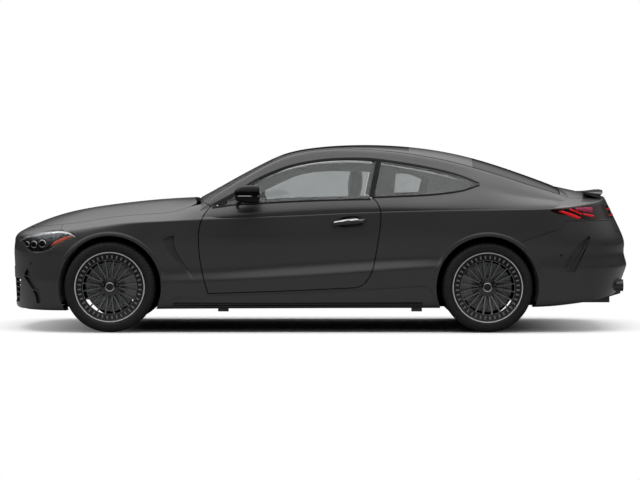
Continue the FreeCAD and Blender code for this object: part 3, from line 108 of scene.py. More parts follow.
MIRROR_Y = 0.965
SEAT_Y = 0.375
BENCH_Y = 0.268
LINING_DEPTH = 0.045

# Camera: its height, pitch and lens

CAMERA_HEIGHT = 1.254
CAMERA_PITCH_DEG = 1.63
LENS_MM, SENSOR_MM = 142.8, 36.0


# Numbers

def srgb(text):
    """A hex colour such as 2a2a2a as linear red, green, blue and 1."""
    parts = [int(text[i:i + 2], 16) / 255 for i in (0, 2, 4)]
    return tuple(c / 12.92 if c <= 0.04045 else ((c + 0.055) / 1.055) ** 2.4 for c in parts) + (1.0,)


def box(name):
    """Lowest and highest corner of a node, as arrays."""
    low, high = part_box(name)
    return np.array(low), np.array(high)


def wheel_place(corner):
    """Wheel centre, outer radius and half the tyre's width."""
    low, high = box(f"tyre_{corner}")
    return (low + high) / 2, (high[2] - low[2]) / 2, (high[1] - low[1]) / 2


def resampled(points, count):
    """Evenly spaced points of a smooth path: each coordinate is a Hermite cubic over the chord length."""
    points = np.array(points, float)
    chord = np.concatenate([[0], np.cumsum(np.linalg.norm(np.diff(points, axis=0), axis=1))])
    if len(points) == 2:
        return points[0] + np.linspace(0, 1, count)[:, None] * (points[1] - points[0])
    slopes = np.gradient(points, chord, axis=0)
    wanted = np.linspace(0, chord[-1], count)
    i = np.clip(np.searchsorted(chord, wanted, side="right") - 1, 0, len(points) - 2)
    span = (chord[i + 1] - chord[i])[:, None]
    t = (wanted - chord[i])[:, None] / span
    return ((1 + 2 * t) * (1 - t) ** 2 * points[i] + t * (1 - t) ** 2 * span * slopes[i]
            + t * t * (3 - 2 * t) * points[i + 1] + t * t * (t - 1) * span * slopes[i + 1])


def smooth_step(low, high, value):
    """0 up to low and 1 from high on, with the cubic 3tt - 2ttt between them."""
    t = np.clip((value - low) / (high - low), 0, 1)
    return t * t * (3 - 2 * t)


# Meshes from grids. A part is a closed pair of (points, quads).

def grid_faces(rows, columns, around=False, closed=False):
    """Corner numbers of a grid's quads. around joins the last row to the first, closed the last column."""
    i = np.arange(rows if around else rows - 1)[:, None]
    j = np.arange(columns if closed else columns - 1)[None, :]
    a, b = i * columns + j, ((i + 1) % rows) * columns + j
    c, d = ((i + 1) % rows) * columns + (j + 1) % columns, i * columns + (j + 1) % columns
    return np.stack(np.broadcast_arrays(a, b, c, d), -1).reshape(-1, 4)


def outward(points, faces):
    """The same closed part with its faces pointing out: the sum of its tetrahedra from the middle is positive."""
    a, b, c, d = (points[faces[:, k]] - points.mean(0) for k in range(4))
    volume = np.einsum("ij,ij->", a, np.cross(b, c)) + np.einsum("ij,ij->", a, np.cross(c, d))
    return points, faces if volume > 0 else faces[:, ::-1]


def tube(grid):
    """A closed part from rings of points. Rows run along it, and each end is drawn to its middle point."""
    rows, columns = grid.shape[:2]
    ends = [np.repeat(grid[k].mean(0)[None, :], columns, axis=0)[None] for k in (0, -1)]
    return outward(np.concatenate([ends[0], grid, ends[1]]).reshape(-1, 3),
                   grid_faces(rows + 2, columns, closed=True))


def ring(grid):
    """A closed part whose section is carried once round a loop."""
    rows, columns = grid.shape[:2]
    return outward(grid.reshape(-1, 3), grid_faces(rows, columns, around=True, closed=True))


def shell(top, bottom):
    """A closed part between two grids of the same size: the upper grid is framed by the lower one's edge."""
    rows, columns = top.shape[:2]
    framed = np.concatenate([bottom[:, :1], top, bottom[:, -1:]], axis=1)
    first = np.concatenate([bottom[:1, :1], bottom[:1], bottom[:1, -1:]], axis=1)
    last = np.concatenate([bottom[-1:, :1], bottom[-1:], bottom[-1:, -1:]], axis=1)
    upper = np.concatenate([first, framed, last])
    points = np.concatenate([upper.reshape(-1, 3), bottom.reshape(-1, 3)])
    faces = np.concatenate([grid_faces(rows + 2, columns + 2),
                            grid_faces(rows, columns)[:, ::-1] + (rows + 2) * (columns + 2)])
    return outward(points, faces)


def on_side(parts, sign):
    """Parts made for the left side, as they are or mirrored to the right."""
    if sign < 0:
        return parts
    return [(points * (1, -1, 1), faces[:, ::-1]) for points, faces in parts]


def mesh_of(name, points, faces):
    """A mesh from an array of points and one of faces with the same number of corners."""
    mesh = bpy.data.meshes.new(name)
    mesh.vertices.add(len(points))
    mesh.vertices.foreach_set("co", points.astype(np.float32).ravel())
    mesh.loops.add(faces.size)
    mesh.loops.foreach_set("vertex_index", faces.astype(np.int32).ravel())
    mesh.polygons.add(len(faces))
    mesh.polygons.foreach_set("loop_start", np.arange(0, faces.size, faces.shape[1], dtype=np.int32))
    mesh.update(calc_edges=True)
    return mesh


def merged(name, parts):
    """One mesh of closed parts, with the doubled points at their seams and tips merged."""
    points = np.concatenate([p for p, _ in parts])
    starts = np.cumsum([0] + [len(p) for p, _ in parts[:-1]])
    mesh = mesh_of(name, points, np.concatenate([f + start for (_, f), start in zip(parts, starts)]))
    work = bmesh.new()
    work.from_mesh(mesh)
    bmesh.ops.remove_doubles(work, verts=work.verts, dist=2e-6)
    bmesh.ops.dissolve_degenerate(work, edges=work.edges, dist=1e-6)
    work.to_mesh(mesh)
    work.free()
    mesh.validate()
    mesh.polygons.foreach_set("use_smooth", np.full(len(mesh.polygons), True))
    return mesh


def linked(made):
    """The same object, put into the scene."""
    bpy.context.scene.collection.objects.link(made)
    return made


def piece(name, parts, material, body, crease_deg=40):
    """A new piece of closed parts, at rest in the frame, that rides on a body."""
    mesh = merged(name, parts)
    mesh.set_sharp_from_angle(angle=math.radians(crease_deg))
    mesh.materials.append(bpy.data.materials[material])
    made = linked(bpy.data.objects.new(name, mesh))
    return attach(made, body)


def pairs(*rows):
    """Pieces for both sides. A row is a name, parts made for the left side, a finish, a body and a slot, which is not
    used, and {} in a body's name is filled by the side."""
    for side, sign in SIDES:
        for name, parts, material, body, slot in rows:
            piece(f"{name}_{side}", on_side(parts, sign), material, body.format(side))


def carried(path, section, up):
    """Rings of a flat section carried along a path. The section's first number runs sideways, its second up."""
    path = np.asarray(path, float)
    ahead = np.gradient(path, axis=0)
    ahead /= np.linalg.norm(ahead, axis=1)[:, None]
    sideways = np.cross(ahead, np.broadcast_to(up, ahead.shape))
    sideways /= np.linalg.norm(sideways, axis=1)[:, None]
    upright = np.cross(sideways, ahead)
    section = np.asarray(section, float)
    if section.ndim == 2:
        section = np.broadcast_to(section, (len(path),) + section.shape)
    return (path[:, None] + section[..., :1] * sideways[:, None] + section[..., 1:] * upright[:, None])


def oval(width, height, count=12, power=2.0):
    """A closed section: |x|^power + |y|^power = 1, stretched to a half width and a half height."""
    turn = np.linspace(0, 2 * math.pi, count, endpoint=False)
    c, s = np.cos(turn), np.sin(turn)
    reach = (np.abs(c) ** power + np.abs(s) ** power) ** (-1 / power)
    return np.stack([width * reach * c, height * reach * s], -1)


def turned(centre, outside, profile, steps=96):
    """A ring from a closed (radius, outwards) profile, turned about a wheel's axle."""
    turn = np.linspace(0, 2 * math.pi, steps, endpoint=False)[:, None]
    r, w = np.array(profile, float).T
    points = np.stack(np.broadcast_arrays(r * np.cos(turn), outside * w + 0 * turn, r * np.sin(turn)), -1)
    return ring(points + centre)


# The body's surface

class Skin:
    """One side of the body as a height field. A flat grid is dropped onto the panels along an axis. The reads
    are smoothed over the shut gaps by a median and a mean, and places lie between the reads linearly."""

    START = 3.0
    STEP = 0.008

    def __init__(self, target, axis, sign, low, high):
        self.axis, self.sign, self.low = axis, sign, low
        self.flat = [k for k in range(3) if k != axis]
        counts = [int(round((b - a) / self.STEP)) + 1 for a, b in zip(low, high)]
        points = np.zeros(counts + [3])
        points[..., self.flat[0]] = (low[0] + self.STEP * np.arange(counts[0]))[:, None]
        points[..., self.flat[1]] = (low[1] + self.STEP * np.arange(counts[1]))[None, :]
        points[..., axis] = sign * self.START
        probe = linked(bpy.data.objects.new("probe", mesh_of("probe", points.reshape(-1, 3), grid_faces(*counts))))
        drop = probe.modifiers.new("drop", "SHRINKWRAP")
        drop.target, drop.wrap_method = target, "PROJECT"
        for k, letter in enumerate("xyz"):
            setattr(drop, f"use_project_{letter}", k == axis)
        drop.use_positive_direction, drop.use_negative_direction = sign < 0, sign > 0
        graph = bpy.context.evaluated_depsgraph_get()
        dropped = probe.evaluated_get(graph).data
        reads = np.empty(len(dropped.vertices) * 3, np.float32)
        dropped.vertices.foreach_get("co", reads)
        height = reads.reshape(points.shape)[..., axis].astype(float)
        bpy.data.objects.remove(probe)
        height[np.abs(height) > self.START - 0.01] = np.nan
        height = self.around(height, 2, np.nanmedian)
        for _ in range(12):
            height = np.where(np.isnan(height), self.around(height, 1, np.nanmean), height)
        self.height = self.around(height, 1, np.nanmean)
        self.slopes = np.gradient(self.height, self.STEP)

    @staticmethod
    def around(height, reach, how):
        """Each read replaced by a mean or median of its neighbours."""
        rows, columns = height.shape
        padded = np.pad(height, reach, mode="edge")
        shifted = [padded[i:i + rows, j:j + columns] for i in range(2 * reach + 1) for j in range(2 * reach + 1)]
        with warnings.catch_warnings():
            warnings.simplefilter("ignore")
            return how(np.stack(shifted), axis=0)

    def read(self, grid, a, b):
        """A grid's value between its places, linear in both directions."""
        u = np.clip((a - self.low[0]) / self.STEP, 0, grid.shape[0] - 1.001)
        v = np.clip((b - self.low[1]) / self.STEP, 0, grid.shape[1] - 1.001)
        i, j = u.astype(int), v.astype(int)
        u, v = u - i, v - j
        return ((1 - u) * (1 - v) * grid[i, j] + u * (1 - v) * grid[i + 1, j]
                + (1 - u) * v * grid[i, j + 1] + u * v * grid[i + 1, j + 1])

    def place(self, a, b, lift=0.0):
        """Points of the surface, lifted along its normal."""
        a, b = np.broadcast_arrays(np.asarray(a, float), np.asarray(b, float))
        point = np.zeros(a.shape + (3,))
        normal = np.zeros(a.shape + (3,))
        point[..., self.flat[0]], point[..., self.flat[1]] = a, b
        point[..., self.axis] = self.read(self.height, a, b)
        normal[..., self.axis] = self.sign
        for k in (0, 1):
            normal[..., self.flat[k]] = -self.sign * self.read(self.slopes[k], a, b)
        normal /= np.linalg.norm(normal, axis=-1, keepdims=True)
        return point + normal * np.asarray(lift)[..., None]


MEASURED = {}


def skin(view):
    """The body's surface from the left, above, ahead or behind, measured once."""
    if not MEASURED:
        points, faces, start = [], [], 0
        for name in PANELS:
            mesh = NODES[name].data
            mesh.calc_loop_triangles()
            spots = np.empty(len(mesh.vertices) * 3, np.float32)
            mesh.vertices.foreach_get("co", spots)
            corners = np.empty(len(mesh.loop_triangles) * 3, np.int32)
            mesh.loop_triangles.foreach_get("vertices", corners)
            points.append(spots.reshape(-1, 3))
            faces.append(corners.reshape(-1, 3) + start)
            start += len(mesh.vertices)
        panels = linked(bpy.data.objects.new("panels", mesh_of("panels", np.concatenate(points),
                                                               np.concatenate(faces))))
        for word, axis, sign, low, high in (
                ("left", 1, -1, (-2.40, 0.17), (2.40, 1.42)), ("above", 2, 1, (-2.40, -0.9), (2.40, 0.9)),
                ("ahead", 0, -1, (-0.86, 0.18), (0.86, 0.80)), ("behind", 0, 1, (-0.86, 0.25), (0.86, 1.08))):
            MEASURED[word] = Skin(panels, axis, sign, low, high)
        bpy.data.objects.remove(panels)
    return MEASURED[view]


# A trim's rounded edge, as (way across, share of the height), and how deep its foot lies in the body
EDGE_TURN = ((0.0, 0.0), (0.0, 0.6), (0.08, 1.0), (0.5, 1.0), (0.92, 1.0), (1.0, 0.6), (1.0, 0.0))
SINK = 0.002


def between(view, lower, upper, count, t, top, bottom):
    """A closed part between two lifts of the body's surface. Its rows lie t of the way from the lower outline to
    the upper one."""
    lower, upper = resampled(lower, count), resampled(upper, count)
    a, b = (lower[:, k] * (1 - t) + upper[:, k] * t for k in (0, 1))
    surface = skin(view)
    return shell(surface.place(a, b, top + 0 * a), surface.place(a, b, bottom + 0 * a))


def laid(view, lower, upper, height, count=60, rows=EDGE_TURN):
    """A thin closed part on the body between two outlines. A row is (way across, share of the height)."""
    t, share = (column[:, None] for column in np.array(rows, float).T)
    return between(view, lower, upper, count, t, share * height, -SINK)


def lining(lower, upper, thick=0.004, count=40):
    """A thin closed part between two outlines, behind the body's side at an even depth."""
    t = np.linspace(0, 1, 7)[:, None]
    return between("left", lower, upper, count, t, -LINING_DEPTH, -LINING_DEPTH - thick)


def strip(view, path, width, height, count=60):
    """A band of even width along a path on the body."""
    path = resampled(path, count)
    ahead = np.gradient(path, axis=0)
    ahead /= np.linalg.norm(ahead, axis=1)[:, None]
    across = np.stack([-ahead[:, 1], ahead[:, 0]], -1) * width / 2
    return laid(view, path - across, path + across, height, count)


def button(view, a, b, radius, height):
    """A low round button on the body: a dome's rings, each with its share of the radius and its lift."""
    turn = np.linspace(0, 2 * math.pi, 24, endpoint=False)
    shares = np.array([1.0, 1.0, 0.93, 0.75, 0.4])[:, None]
    lifts = np.array([-SINK, 0.6 * height, 0.9 * height, height, height])[:, None]
    surface = skin(view)
    return tube(surface.place(a + radius * shares * np.cos(turn), b + radius * shares * np.sin(turn),
                              lifts + 0 * turn))


# Materials

def node(tree, kind, *inputs, **values):
    """Adds a shader node. An input is (socket, source), and the source is an output, a node for its first output
    or a plain value. A value is a property's or, with _ for a space, a socket's."""
    made = tree.nodes.new("ShaderNode" + kind)
    for name, value in values.items():
        if hasattr(made, name):
            setattr(made, name, value)
        else:
            made.inputs[name.replace("_", " ")].default_value = value
    for socket, source in inputs:
        if isinstance(source, bpy.types.Node):
            source = source.outputs[0]
        if isinstance(source, bpy.types.NodeSocket):
            tree.links.new(source, made.inputs[socket])
        else:
            made.inputs[socket].default_value = source
    return made


def texture(tree, kind, **values):
    """A texture on Object coordinates, whose Scale is a count to the metre."""
    return node(tree, kind, ("Vector", node(tree, "TexCoord").outputs["Object"]), **values)


def finish(name, colour, **values):
    """A material with one Principled shader, whose sockets take a hex colour and plain values. Returns its node
    tree and the shader."""
    material = bpy.data.materials.new(name)
    material.use_nodes = True
    tree = material.node_tree
    tree.nodes.clear()
    shader = node(tree, "BsdfPrincipled", Base_Color=srgb(colour), **values)
    node(tree, "OutputMaterial", ("Surface", shader))
    return tree, shader


def patterned(tree, shader, value, dark=None, light=None, bump=0.0, low=0.3, high=0.7):
    """Lets a pattern's value colour the surface between two tones and raise it by a height in metres."""
    if dark:
        tone = node(tree, "ValToRGB", (0, value))
        for stop, place, colour in zip(tone.color_ramp.elements, (low, high), (dark, light)):
            stop.position, stop.color = place, srgb(colour)
        tree.links.new(tone.outputs[0], shader.inputs["Base Color"])
    if bump:
        relief = node(tree, "Bump", ("Height", value), Distance=bump)
        tree.links.new(relief.outputs[0], shader.inputs["Normal"])


def grained(name, colours, per_metre, bump, **values):
    """A finish with an even random grain: noise with so many grains to the metre, and a bump in metres."""
    tree, shader = finish(name, colours[0], **values)
    patterned(tree, shader, texture(tree, "TexNoise", Scale=per_metre, Detail=3.0), *colours, bump=bump)


def make_plain_finishes():
    """Finishes whose detail is an even grain."""
    # Injection-moulded ABS under black lacquer: a deep, mirror-like black
    grained("gloss_black_abs", ("09090a", "0d0d0e"), 60, 0.00001, Roughness=0.16, IOR=1.5,
            Specular_IOR_Level=0.22)
    # Unpainted polypropylene, moulded with a fine leather grain: dull charcoal
    grained("moulded_polypropylene", ("141415", "1b1b1c"), 900, 0.00008, Roughness=0.62, IOR=1.49)
    # Sprayed bitumen underbody coating: rough, black and slightly lumpy
    grained("underbody_coating", ("101011", "1a1a1b"), 240, 0.0006, Roughness=0.8)
    # Needled polyester felt of the wheel arch liners: takes nearly all light
    grained("needled_felt", ("060606", "0e0e0e"), 700, 0.0007, Roughness=1.0, Sheen_Weight=0.2)
    # Anodised aluminium caliper: satin light grey metal
    grained("anodised_caliper", ("8f9092", "a3a4a6"), 300, 0.00003, Roughness=0.33, Metallic=0.9)
    # Sand-cast aluminium upright: grey and grainy
    grained("cast_aluminium", ("5d5e60", "7c7d7f"), 500, 0.0002, Roughness=0.55, Metallic=0.9)
    # Turned aluminium under clear lacquer: bright silver
    grained("turned_aluminium", ("eeeff0", "fafafa"), 1500, 0.00001, Roughness=0.3, Metallic=0.15)
    # Mid grey lacquer on the raised wheel lines, painted highlight where light catches the edges: no sharp light of
    # its own
    grained("painted_highlight_grey_lacquer", ("8c8d8e", "9a9b9c"), 1200, 0.00001, Roughness=0.35, Metallic=0.3)
    # Engine castings under a dull paint: dark grey, half metallic
    grained("engine_casting", ("3b3c3e", "55565a"), 180, 0.0003, Roughness=0.5, Metallic=0.7)
    # Polished stainless steel exhaust, smoked black
    grained("polished_stainless_steel", ("4c4b4a", "626160"), 90, 0.00001, Roughness=0.2, Metallic=1.0)
    # Electroplated chrome on ABS: a bright mirror
    grained("bright_chrome", ("d9dadc", "e6e7e9"), 200, 0.000005, Roughness=0.06, Metallic=1.0)
    # Silvered mirror glass: a clean, slightly cool mirror
    grained("silvered_glass", ("c4c8ca", "d0d3d5"), 20, 0.000002, Roughness=0.02, Metallic=1.0)
    # Extruded EPDM rubber of the roof mouldings: dull black
    grained("seal_rubber", ("0b0b0b", "121212"), 1200, 0.00005, Roughness=0.7)
    # Vacuum-metallised lamp reflector: bright, softly rippled silver
    grained("metallised_reflector", ("1b1c1d", "8d8f91"), 55, 0.0002, Roughness=0.2, Metallic=1.0)
    # Dipped amber acrylic, ribbed to scatter light
    grained("amber_acrylic", ("b5462f", "d9705a"), 500, 0.0003, Roughness=0.15, IOR=1.49)
    # Diffusing acrylic of the rear reflector: pink-red
    grained("rose_acrylic", ("8f1d3c", "c04a6c"), 260, 0.0004, Roughness=0.12, IOR=1.49)
    # Lit red acrylic light guides: bright red with little shading
    grained("red_light_guide", ("b80a18", "e01824"), 300, 0.0003, Roughness=0.12, IOR=1.49,
            Emission_Color=srgb("d01020"), Emission_Strength=0.25)
    # Soft-touch polyurethane of the dashboard and linings: dark, dull and finely grained
    grained("soft_touch_dash", ("161617", "202021"), 1300, 0.00015, Roughness=0.7)
    # Cast aluminium wheel under gloss black lacquer: near black with sharp lights and a faint cast ripple
    grained("gloss_black_wheel_lacquer", ("131315", "19191b"), 110, 0.00004, Roughness=0.16, IOR=1.5,
            Coat_Weight=1.0, Coat_Roughness=0.04)


def make_paint():
    """Automotive basecoat with aluminium flake under clear lacquer. The flake scatters light into a broad grey
    sheen, and the lacquer adds a sharp mirror image over it. Real flake is under 0.1 mm and drawn at 0.8 mm."""
    tree, shader = finish("graphite_metallic_paint", "434343", Metallic=0.35, Roughness=0.45,
                          Coat_Weight=0.7, Coat_Roughness=0.06, Coat_IOR=1.5)
    flake = texture(tree, "TexVoronoi", Scale=1250.0)
    share = node(tree, "SeparateColor", (0, flake.outputs["Color"]))
    patterned(tree, shader, share, "3c3c3c", "4a4a4a", low=0.1, high=0.9)
    relief = node(tree, "Bump", ("Height", texture(tree, "TexNoise", Scale=220.0, Detail=1.0)), Distance=0.00002)
    tree.links.new(relief.outputs[0], shader.inputs["Coat Normal"])


def make_glass():
    """Float glass. Side and front panes are grey in the mass, and roof and rear panes are near black, as
    privacy glass is. The tint drifts a little over a pane."""
    for name, dark, light, weight in (("tinted_float_glass", "b2b5b5", "b9bcbc", 1.0),
                                      ("privacy_float_glass", "0a0b0c", "0d0e0f", 0.25)):
        tree, shader = finish(name, dark, Roughness=0.0, IOR=1.45, Transmission_Weight=weight,
                              Specular_IOR_Level=0.3)
        patterned(tree, shader, texture(tree, "TexNoise", Scale=2.0, Detail=0.0), dark, light)


def polar(tree, centre):
    """Radius from a wheel's axle and turn about it, -0.5 to 0.5, on Object coordinates."""
    where = node(tree, "TexCoord").outputs["Object"]
    near = node(tree, "VectorMath", (0, where), (1, tuple(centre)), operation="SUBTRACT")
    split = node(tree, "SeparateXYZ", (0, near))
    flat = node(tree, "CombineXYZ", ("X", split.outputs["X"]), ("Y", split.outputs["Z"]))
    radius = node(tree, "VectorMath", (0, flat), operation="LENGTH")
    angle = node(tree, "Math", (0, split.outputs["Z"]), (1, split.outputs["X"]), operation="ARCTAN2")
    turn = node(tree, "Math", (0, angle), (1, 2 * math.pi), operation="DIVIDE")
    return radius.outputs["Value"], turn


def make_tyre_rubber(corner):
    """Vulcanised rubber, near black and dull, with grey dust in uneven patches. Moulded serrations run round the
    sidewall between two radii: a sine of the turn, which is zero outside them."""
    centre, radius, _ = wheel_place(corner)
    tree, shader = finish(f"tyre_rubber_{corner}", "161616", Roughness=0.68, IOR=1.52)
    reach, turn = polar(tree, centre)
    wave = node(tree, "Math", (0, turn), (1, SERRATIONS * 2 * math.pi), operation="MULTIPLY")
    teeth = node(tree, "Math", (0, wave), operation="SINE")
    inner = node(tree, "Math", (0, reach), (1, radius - 0.046), operation="GREATER_THAN")
    outer = node(tree, "Math", (0, reach), (1, radius - 0.030), operation="LESS_THAN")
    band = node(tree, "Math", (0, inner), (1, outer), operation="MULTIPLY")
    patterned(tree, shader, texture(tree, "TexNoise", Scale=45.0, Detail=4.0), "111111", "1f1f1e")
    patterned(tree, shader, node(tree, "Math", (0, band), (1, teeth), operation="MULTIPLY"), bump=0.0006)


def make_brake_disc(corner):
    """Cast iron, turned and drilled: mid grey, with rows of holes on curved lines, painted near black as painted shade
    inside them and sunk a little by a bump. A hole is where both the radius and the turn are near the middle of a
    cell of a slanted polar grid: rows 20 mm apart, 30 cells round."""
    tree, shader = finish(f"drilled_cast_iron_{corner}", "707173", Roughness=0.4, Metallic=0.7)
    reach, turn = polar(tree, wheel_place(corner)[0])
    row = node(tree, "Math", (0, reach), (1, 50.0), operation="MULTIPLY")
    slant = node(tree, "Math", (0, reach), (1, 12.0), operation="MULTIPLY")
    column = node(tree, "Math", (0, turn), (1, 30.0), (2, slant), operation="MULTIPLY_ADD")
    squares = []
    for cells, stretch in ((row, 1.0), (column, 1.5)):
        share = node(tree, "Math", (0, cells), operation="FRACT")
        off = node(tree, "Math", (0, share), (1, 0.5), operation="SUBTRACT")
        wide = node(tree, "Math", (0, off), (1, stretch), operation="MULTIPLY")
        squares.append(node(tree, "Math", (0, wide), (1, wide), operation="MULTIPLY"))
    spread = node(tree, "Math", (0, squares[0]), (1, squares[1]), operation="ADD")
    solid = node(tree, "Math", (0, spread), (1, 0.055), operation="GREATER_THAN")
    # The holes are near black: painted shade inside them
    patterned(tree, shader, solid, "0a0a0a", "a2a3a5", bump=0.0006)


def make_leather():
    """Aniline-dyed hide with a pebbled grain about 1.2 mm across, softly shining on the crowns."""
    tree, shader = finish("black_nappa_leather", "19191a", Roughness=0.42, IOR=1.48, Sheen_Weight=0.1)
    pebble = texture(tree, "TexVoronoi", Scale=830.0, feature="SMOOTH_F1")
    patterned(tree, shader, pebble, "232324", "131314", bump=-0.0003, low=0.1, high=0.8)


def make_lamp_covers():
    """Moulded polycarbonate covers: clear at the front and ruby red over smoked black behind."""
    for name, colour, weight, rough in (("clear_polycarbonate", "d5d8da", 0.85, 0.02),
                                        ("smoked_polycarbonate", "2b080b", 0.35, 0.03)):
        tree, shader = finish(name, colour, Roughness=rough, IOR=1.45, Transmission_Weight=weight, Coat_Weight=1.0)
        patterned(tree, shader, texture(tree, "TexNoise", Scale=25.0, Detail=1.0), bump=0.0002)


FINISH_OF = {
    "paint": "graphite_metallic_paint", "glass": "tinted_float_glass", "grille": "gloss_black_abs",
    "clear_lamp": "clear_polycarbonate", "red_lamp": "smoked_polycarbonate", "gloss_trim": "gloss_black_abs",
    "chassis": "underbody_coating", "liner": "needled_felt", "caliper": "anodised_caliper",
    "knuckle": "cast_aluminium", "leather": "black_nappa_leather", "dash": "soft_touch_dash",
    "engine": "engine_casting", "exhaust": "polished_stainless_steel", "rim": "gloss_black_wheel_lacquer",
}
NODE_FINISH_OF = {
    "roof_glass": "privacy_float_glass", "rear_window": "privacy_float_glass", "front_subframe": "cast_aluminium",
    "rear_subframe": "cast_aluminium", "steering_wheel": "black_nappa_leather",
}


# Pieces

def tyre_part(corner, outside, blocks):
    """A tyre from a (radius, outwards) section turned about the axle. Four grooves run round the tread. Cross
    grooves, so many to the turn, cut the shoulders and half of the ribs beside them: their corners lie on a grid
    whose turn is sheared with the width."""
    centre, radius, half = wheel_place(corner)
    foot = [(BEAD_RADIUS + up, half - inwards, 0) for up, inwards in (
        (0.0003, 0.0233), (0.015, 0.0233), (0.018, 0.0125), (0.020, 0.0098), (0.0235, 0.0088), (0.025, 0.0062))]
    wall = [(radius - down, half - inwards, share) for down, inwards, share in (
        (0.062, 0.0020, 0), (0.056, 0.0022, 0), (0.0555, 0.0031, 0), (0.0535, 0.0031, 0), (0.053, 0.0012, 0),
        (0.047, 0.0005, 0), (0.042, 0.0002, 0), (0.034, 0.0010, 0), (0.0335, 0.0021, 0), (0.031, 0.0025, 0),
        (0.0305, 0.0016, 0), (0.024, 0.0032, 0), (0.019, 0.0058, 0.3), (0.014, 0.0088, 0.8), (0.009, 0.0125, 1),
        (0.0055, 0.0185, 1), (0.0027, 0.027, 1), (0.0012, 0.040, 1))]
    # Half the flat tread, a groove's half width and depth, a cross groove's depth, and the shear in radians
    flat, groove, deep, cut, shear = half - 0.056, 0.0048, 0.0065, 0.0055, 0.16
    tread = []
    for middle, share in ((0.93 * flat, 0.5), (0.32 * flat, 0)):
        tread += [(radius - 0.0004, middle + groove, 1 if share else 0.5),
                  (radius - deep, middle + groove - 0.0007, 0), (radius - deep, middle - groove + 0.0007, 0),
                  (radius, middle - groove, share), (radius, middle - groove - 0.012, share)]
    near = foot + wall + tread
    section = np.array(near + [(r, -w, share) for r, w, share in near[::-1]])
    places = np.array([0, 0.015, 0.15, 0.165, 0.38, 0.59, 0.80])
    sunk = np.array([0, 1, 1, 0, 0, 0, 0])
    turn = ((np.arange(blocks)[:, None] + places) / blocks * 2 * math.pi).ravel()[:, None]
    sunk = np.tile(sunk, blocks)[:, None]
    r, w, share = section.T
    reach = r - cut * share * sunk
    turn = turn + shear * np.abs(w) / half * (1 + 0.3 * np.sign(w))
    return ring(np.stack([reach * np.cos(turn), outside * w + 0 * turn, reach * np.sin(turn)], -1) + centre)


def rim_trim_parts(corner, outside, line):
    """Parts of a wheel: first its machined bright lip, and then mid grey lines that stand for light caught on edges, a
    painted highlight: the ring inside the small windows, the bars between them and both edges of each spoke, which
    stand a line's height proud. Spokes go in pairs. Each runs straight from the hub to the rim's face, and its
    middle moves evenly away from the pair's."""
    centre, _, half = wheel_place(corner)
    face = half - RIM_DISH
    # A profile is (radius, outwards)
    lip = [(0.2592, face + 0.005), (0.2598, face + 0.0070), (0.2660, face + 0.0078), (0.2677, face + 0.0066),
           (0.2677, face + 0.005)]
    inner = [(0.2046, face - 0.001), (0.2046, face + line), (0.2066, face + line), (0.2066, face - 0.001)]
    parts = [turned(centre, outside, lip, 180), turned(centre, outside, inner, 144)]
    turn = math.pi / WINDOWS
    for bar in range(WINDOWS):
        angle = turn * (2 * bar + 1) + np.array([-0.3, 0.3])[None, :] * turn
        radius = np.array([0.2195, 0.2435])[:, None]
        level = outside * face + 0 * radius * angle
        grid = np.stack([radius * np.cos(angle), level, radius * np.sin(angle)], -1)
        up = np.array([0, outside * 0.0012, 0])
        parts.append(shell(grid + up + centre, grid - up + centre))
    # Along a spoke: its radius, how far out it is, its middle off the pair's, and half its width
    share = np.linspace(0.05, 0.93, 6)
    reach = 0.062 + 0.152 * share
    out = 0.084 + (face - 0.084) * share
    middle = 0.0054 + 0.0281 * share
    half_width = 0.0048 - 0.0012 * share - 0.0011
    corners = np.array([(-0.0011, -0.0006), (0.0011, -0.0006), (0.0011, line), (-0.0011, line)])
    for pair in range(SPOKE_PAIRS):
        base = 2 * math.pi * pair / SPOKE_PAIRS
        for lean in (-1, 1):
            for edge in (-1, 1):
                across = (lean * middle + edge * half_width)[:, None] + corners[:, 0]
                height = out[:, None] + corners[:, 1]
                x = reach[:, None] * math.cos(base) - across * math.sin(base)
                z = reach[:, None] * math.sin(base) + across * math.cos(base)
                parts.append(tube(np.stack([x, outside * height, z], -1) + centre))
    return parts


def hub_ring_part(corner, outside):
    """A bright ring round the plain hub cap, turned about the axle."""
    cap = [(0.0292, 0.1000), (0.0292, 0.1026), (0.0305, 0.1034), (0.0340, 0.1024), (0.0352, 0.1004)]
    return turned(wheel_place(corner)[0], outside, cap, 72)


def bolt_parts(corner, outside):
    """Wheel bolts with hollow six-sided heads, spaced evenly on a circle. A level is (radius, outwards)."""
    parts = []
    levels = [(0.0105, 0.083), (0.0105, 0.0875), (0.0085, 0.0885), (0.0085, 0.0945), (0.0074, 0.0955),
              (0.0055, 0.0955), (0.0052, 0.0905)]
    turn = np.linspace(0, 2 * math.pi, 6, endpoint=False)
    for bolt in range(BOLTS):
        angle = 2 * math.pi * (bolt + 0.25) / BOLTS
        x, z = BOLT_CIRCLE * math.cos(angle), BOLT_CIRCLE * math.sin(angle)
        rings = [np.stack([x + r * np.cos(turn), outside * w + 0 * turn, z + r * np.sin(turn)], -1)
                 for r, w in levels]
        parts.append(tube(np.array(rings) + wheel_place(corner)[0]))
    return parts


def arch_lip(middle, start_deg, end_deg):
    """A raised lip along a wheel arch: a band between two arcs about the axle."""
    turn = np.radians(np.linspace(start_deg, end_deg, 40))
    arcs = [np.stack([middle[0] + r * np.cos(turn), middle[2] + r * np.sin(turn)], -1)
            for r in (ARCH_RADIUS + 0.001, ARCH_RADIUS + 0.034)]
    return laid("left", *arcs, 0.0045, 110, ((0, 0), (0, 0.8), (0.12, 1.0), (0.7, 0.9), (1, -0.3)))


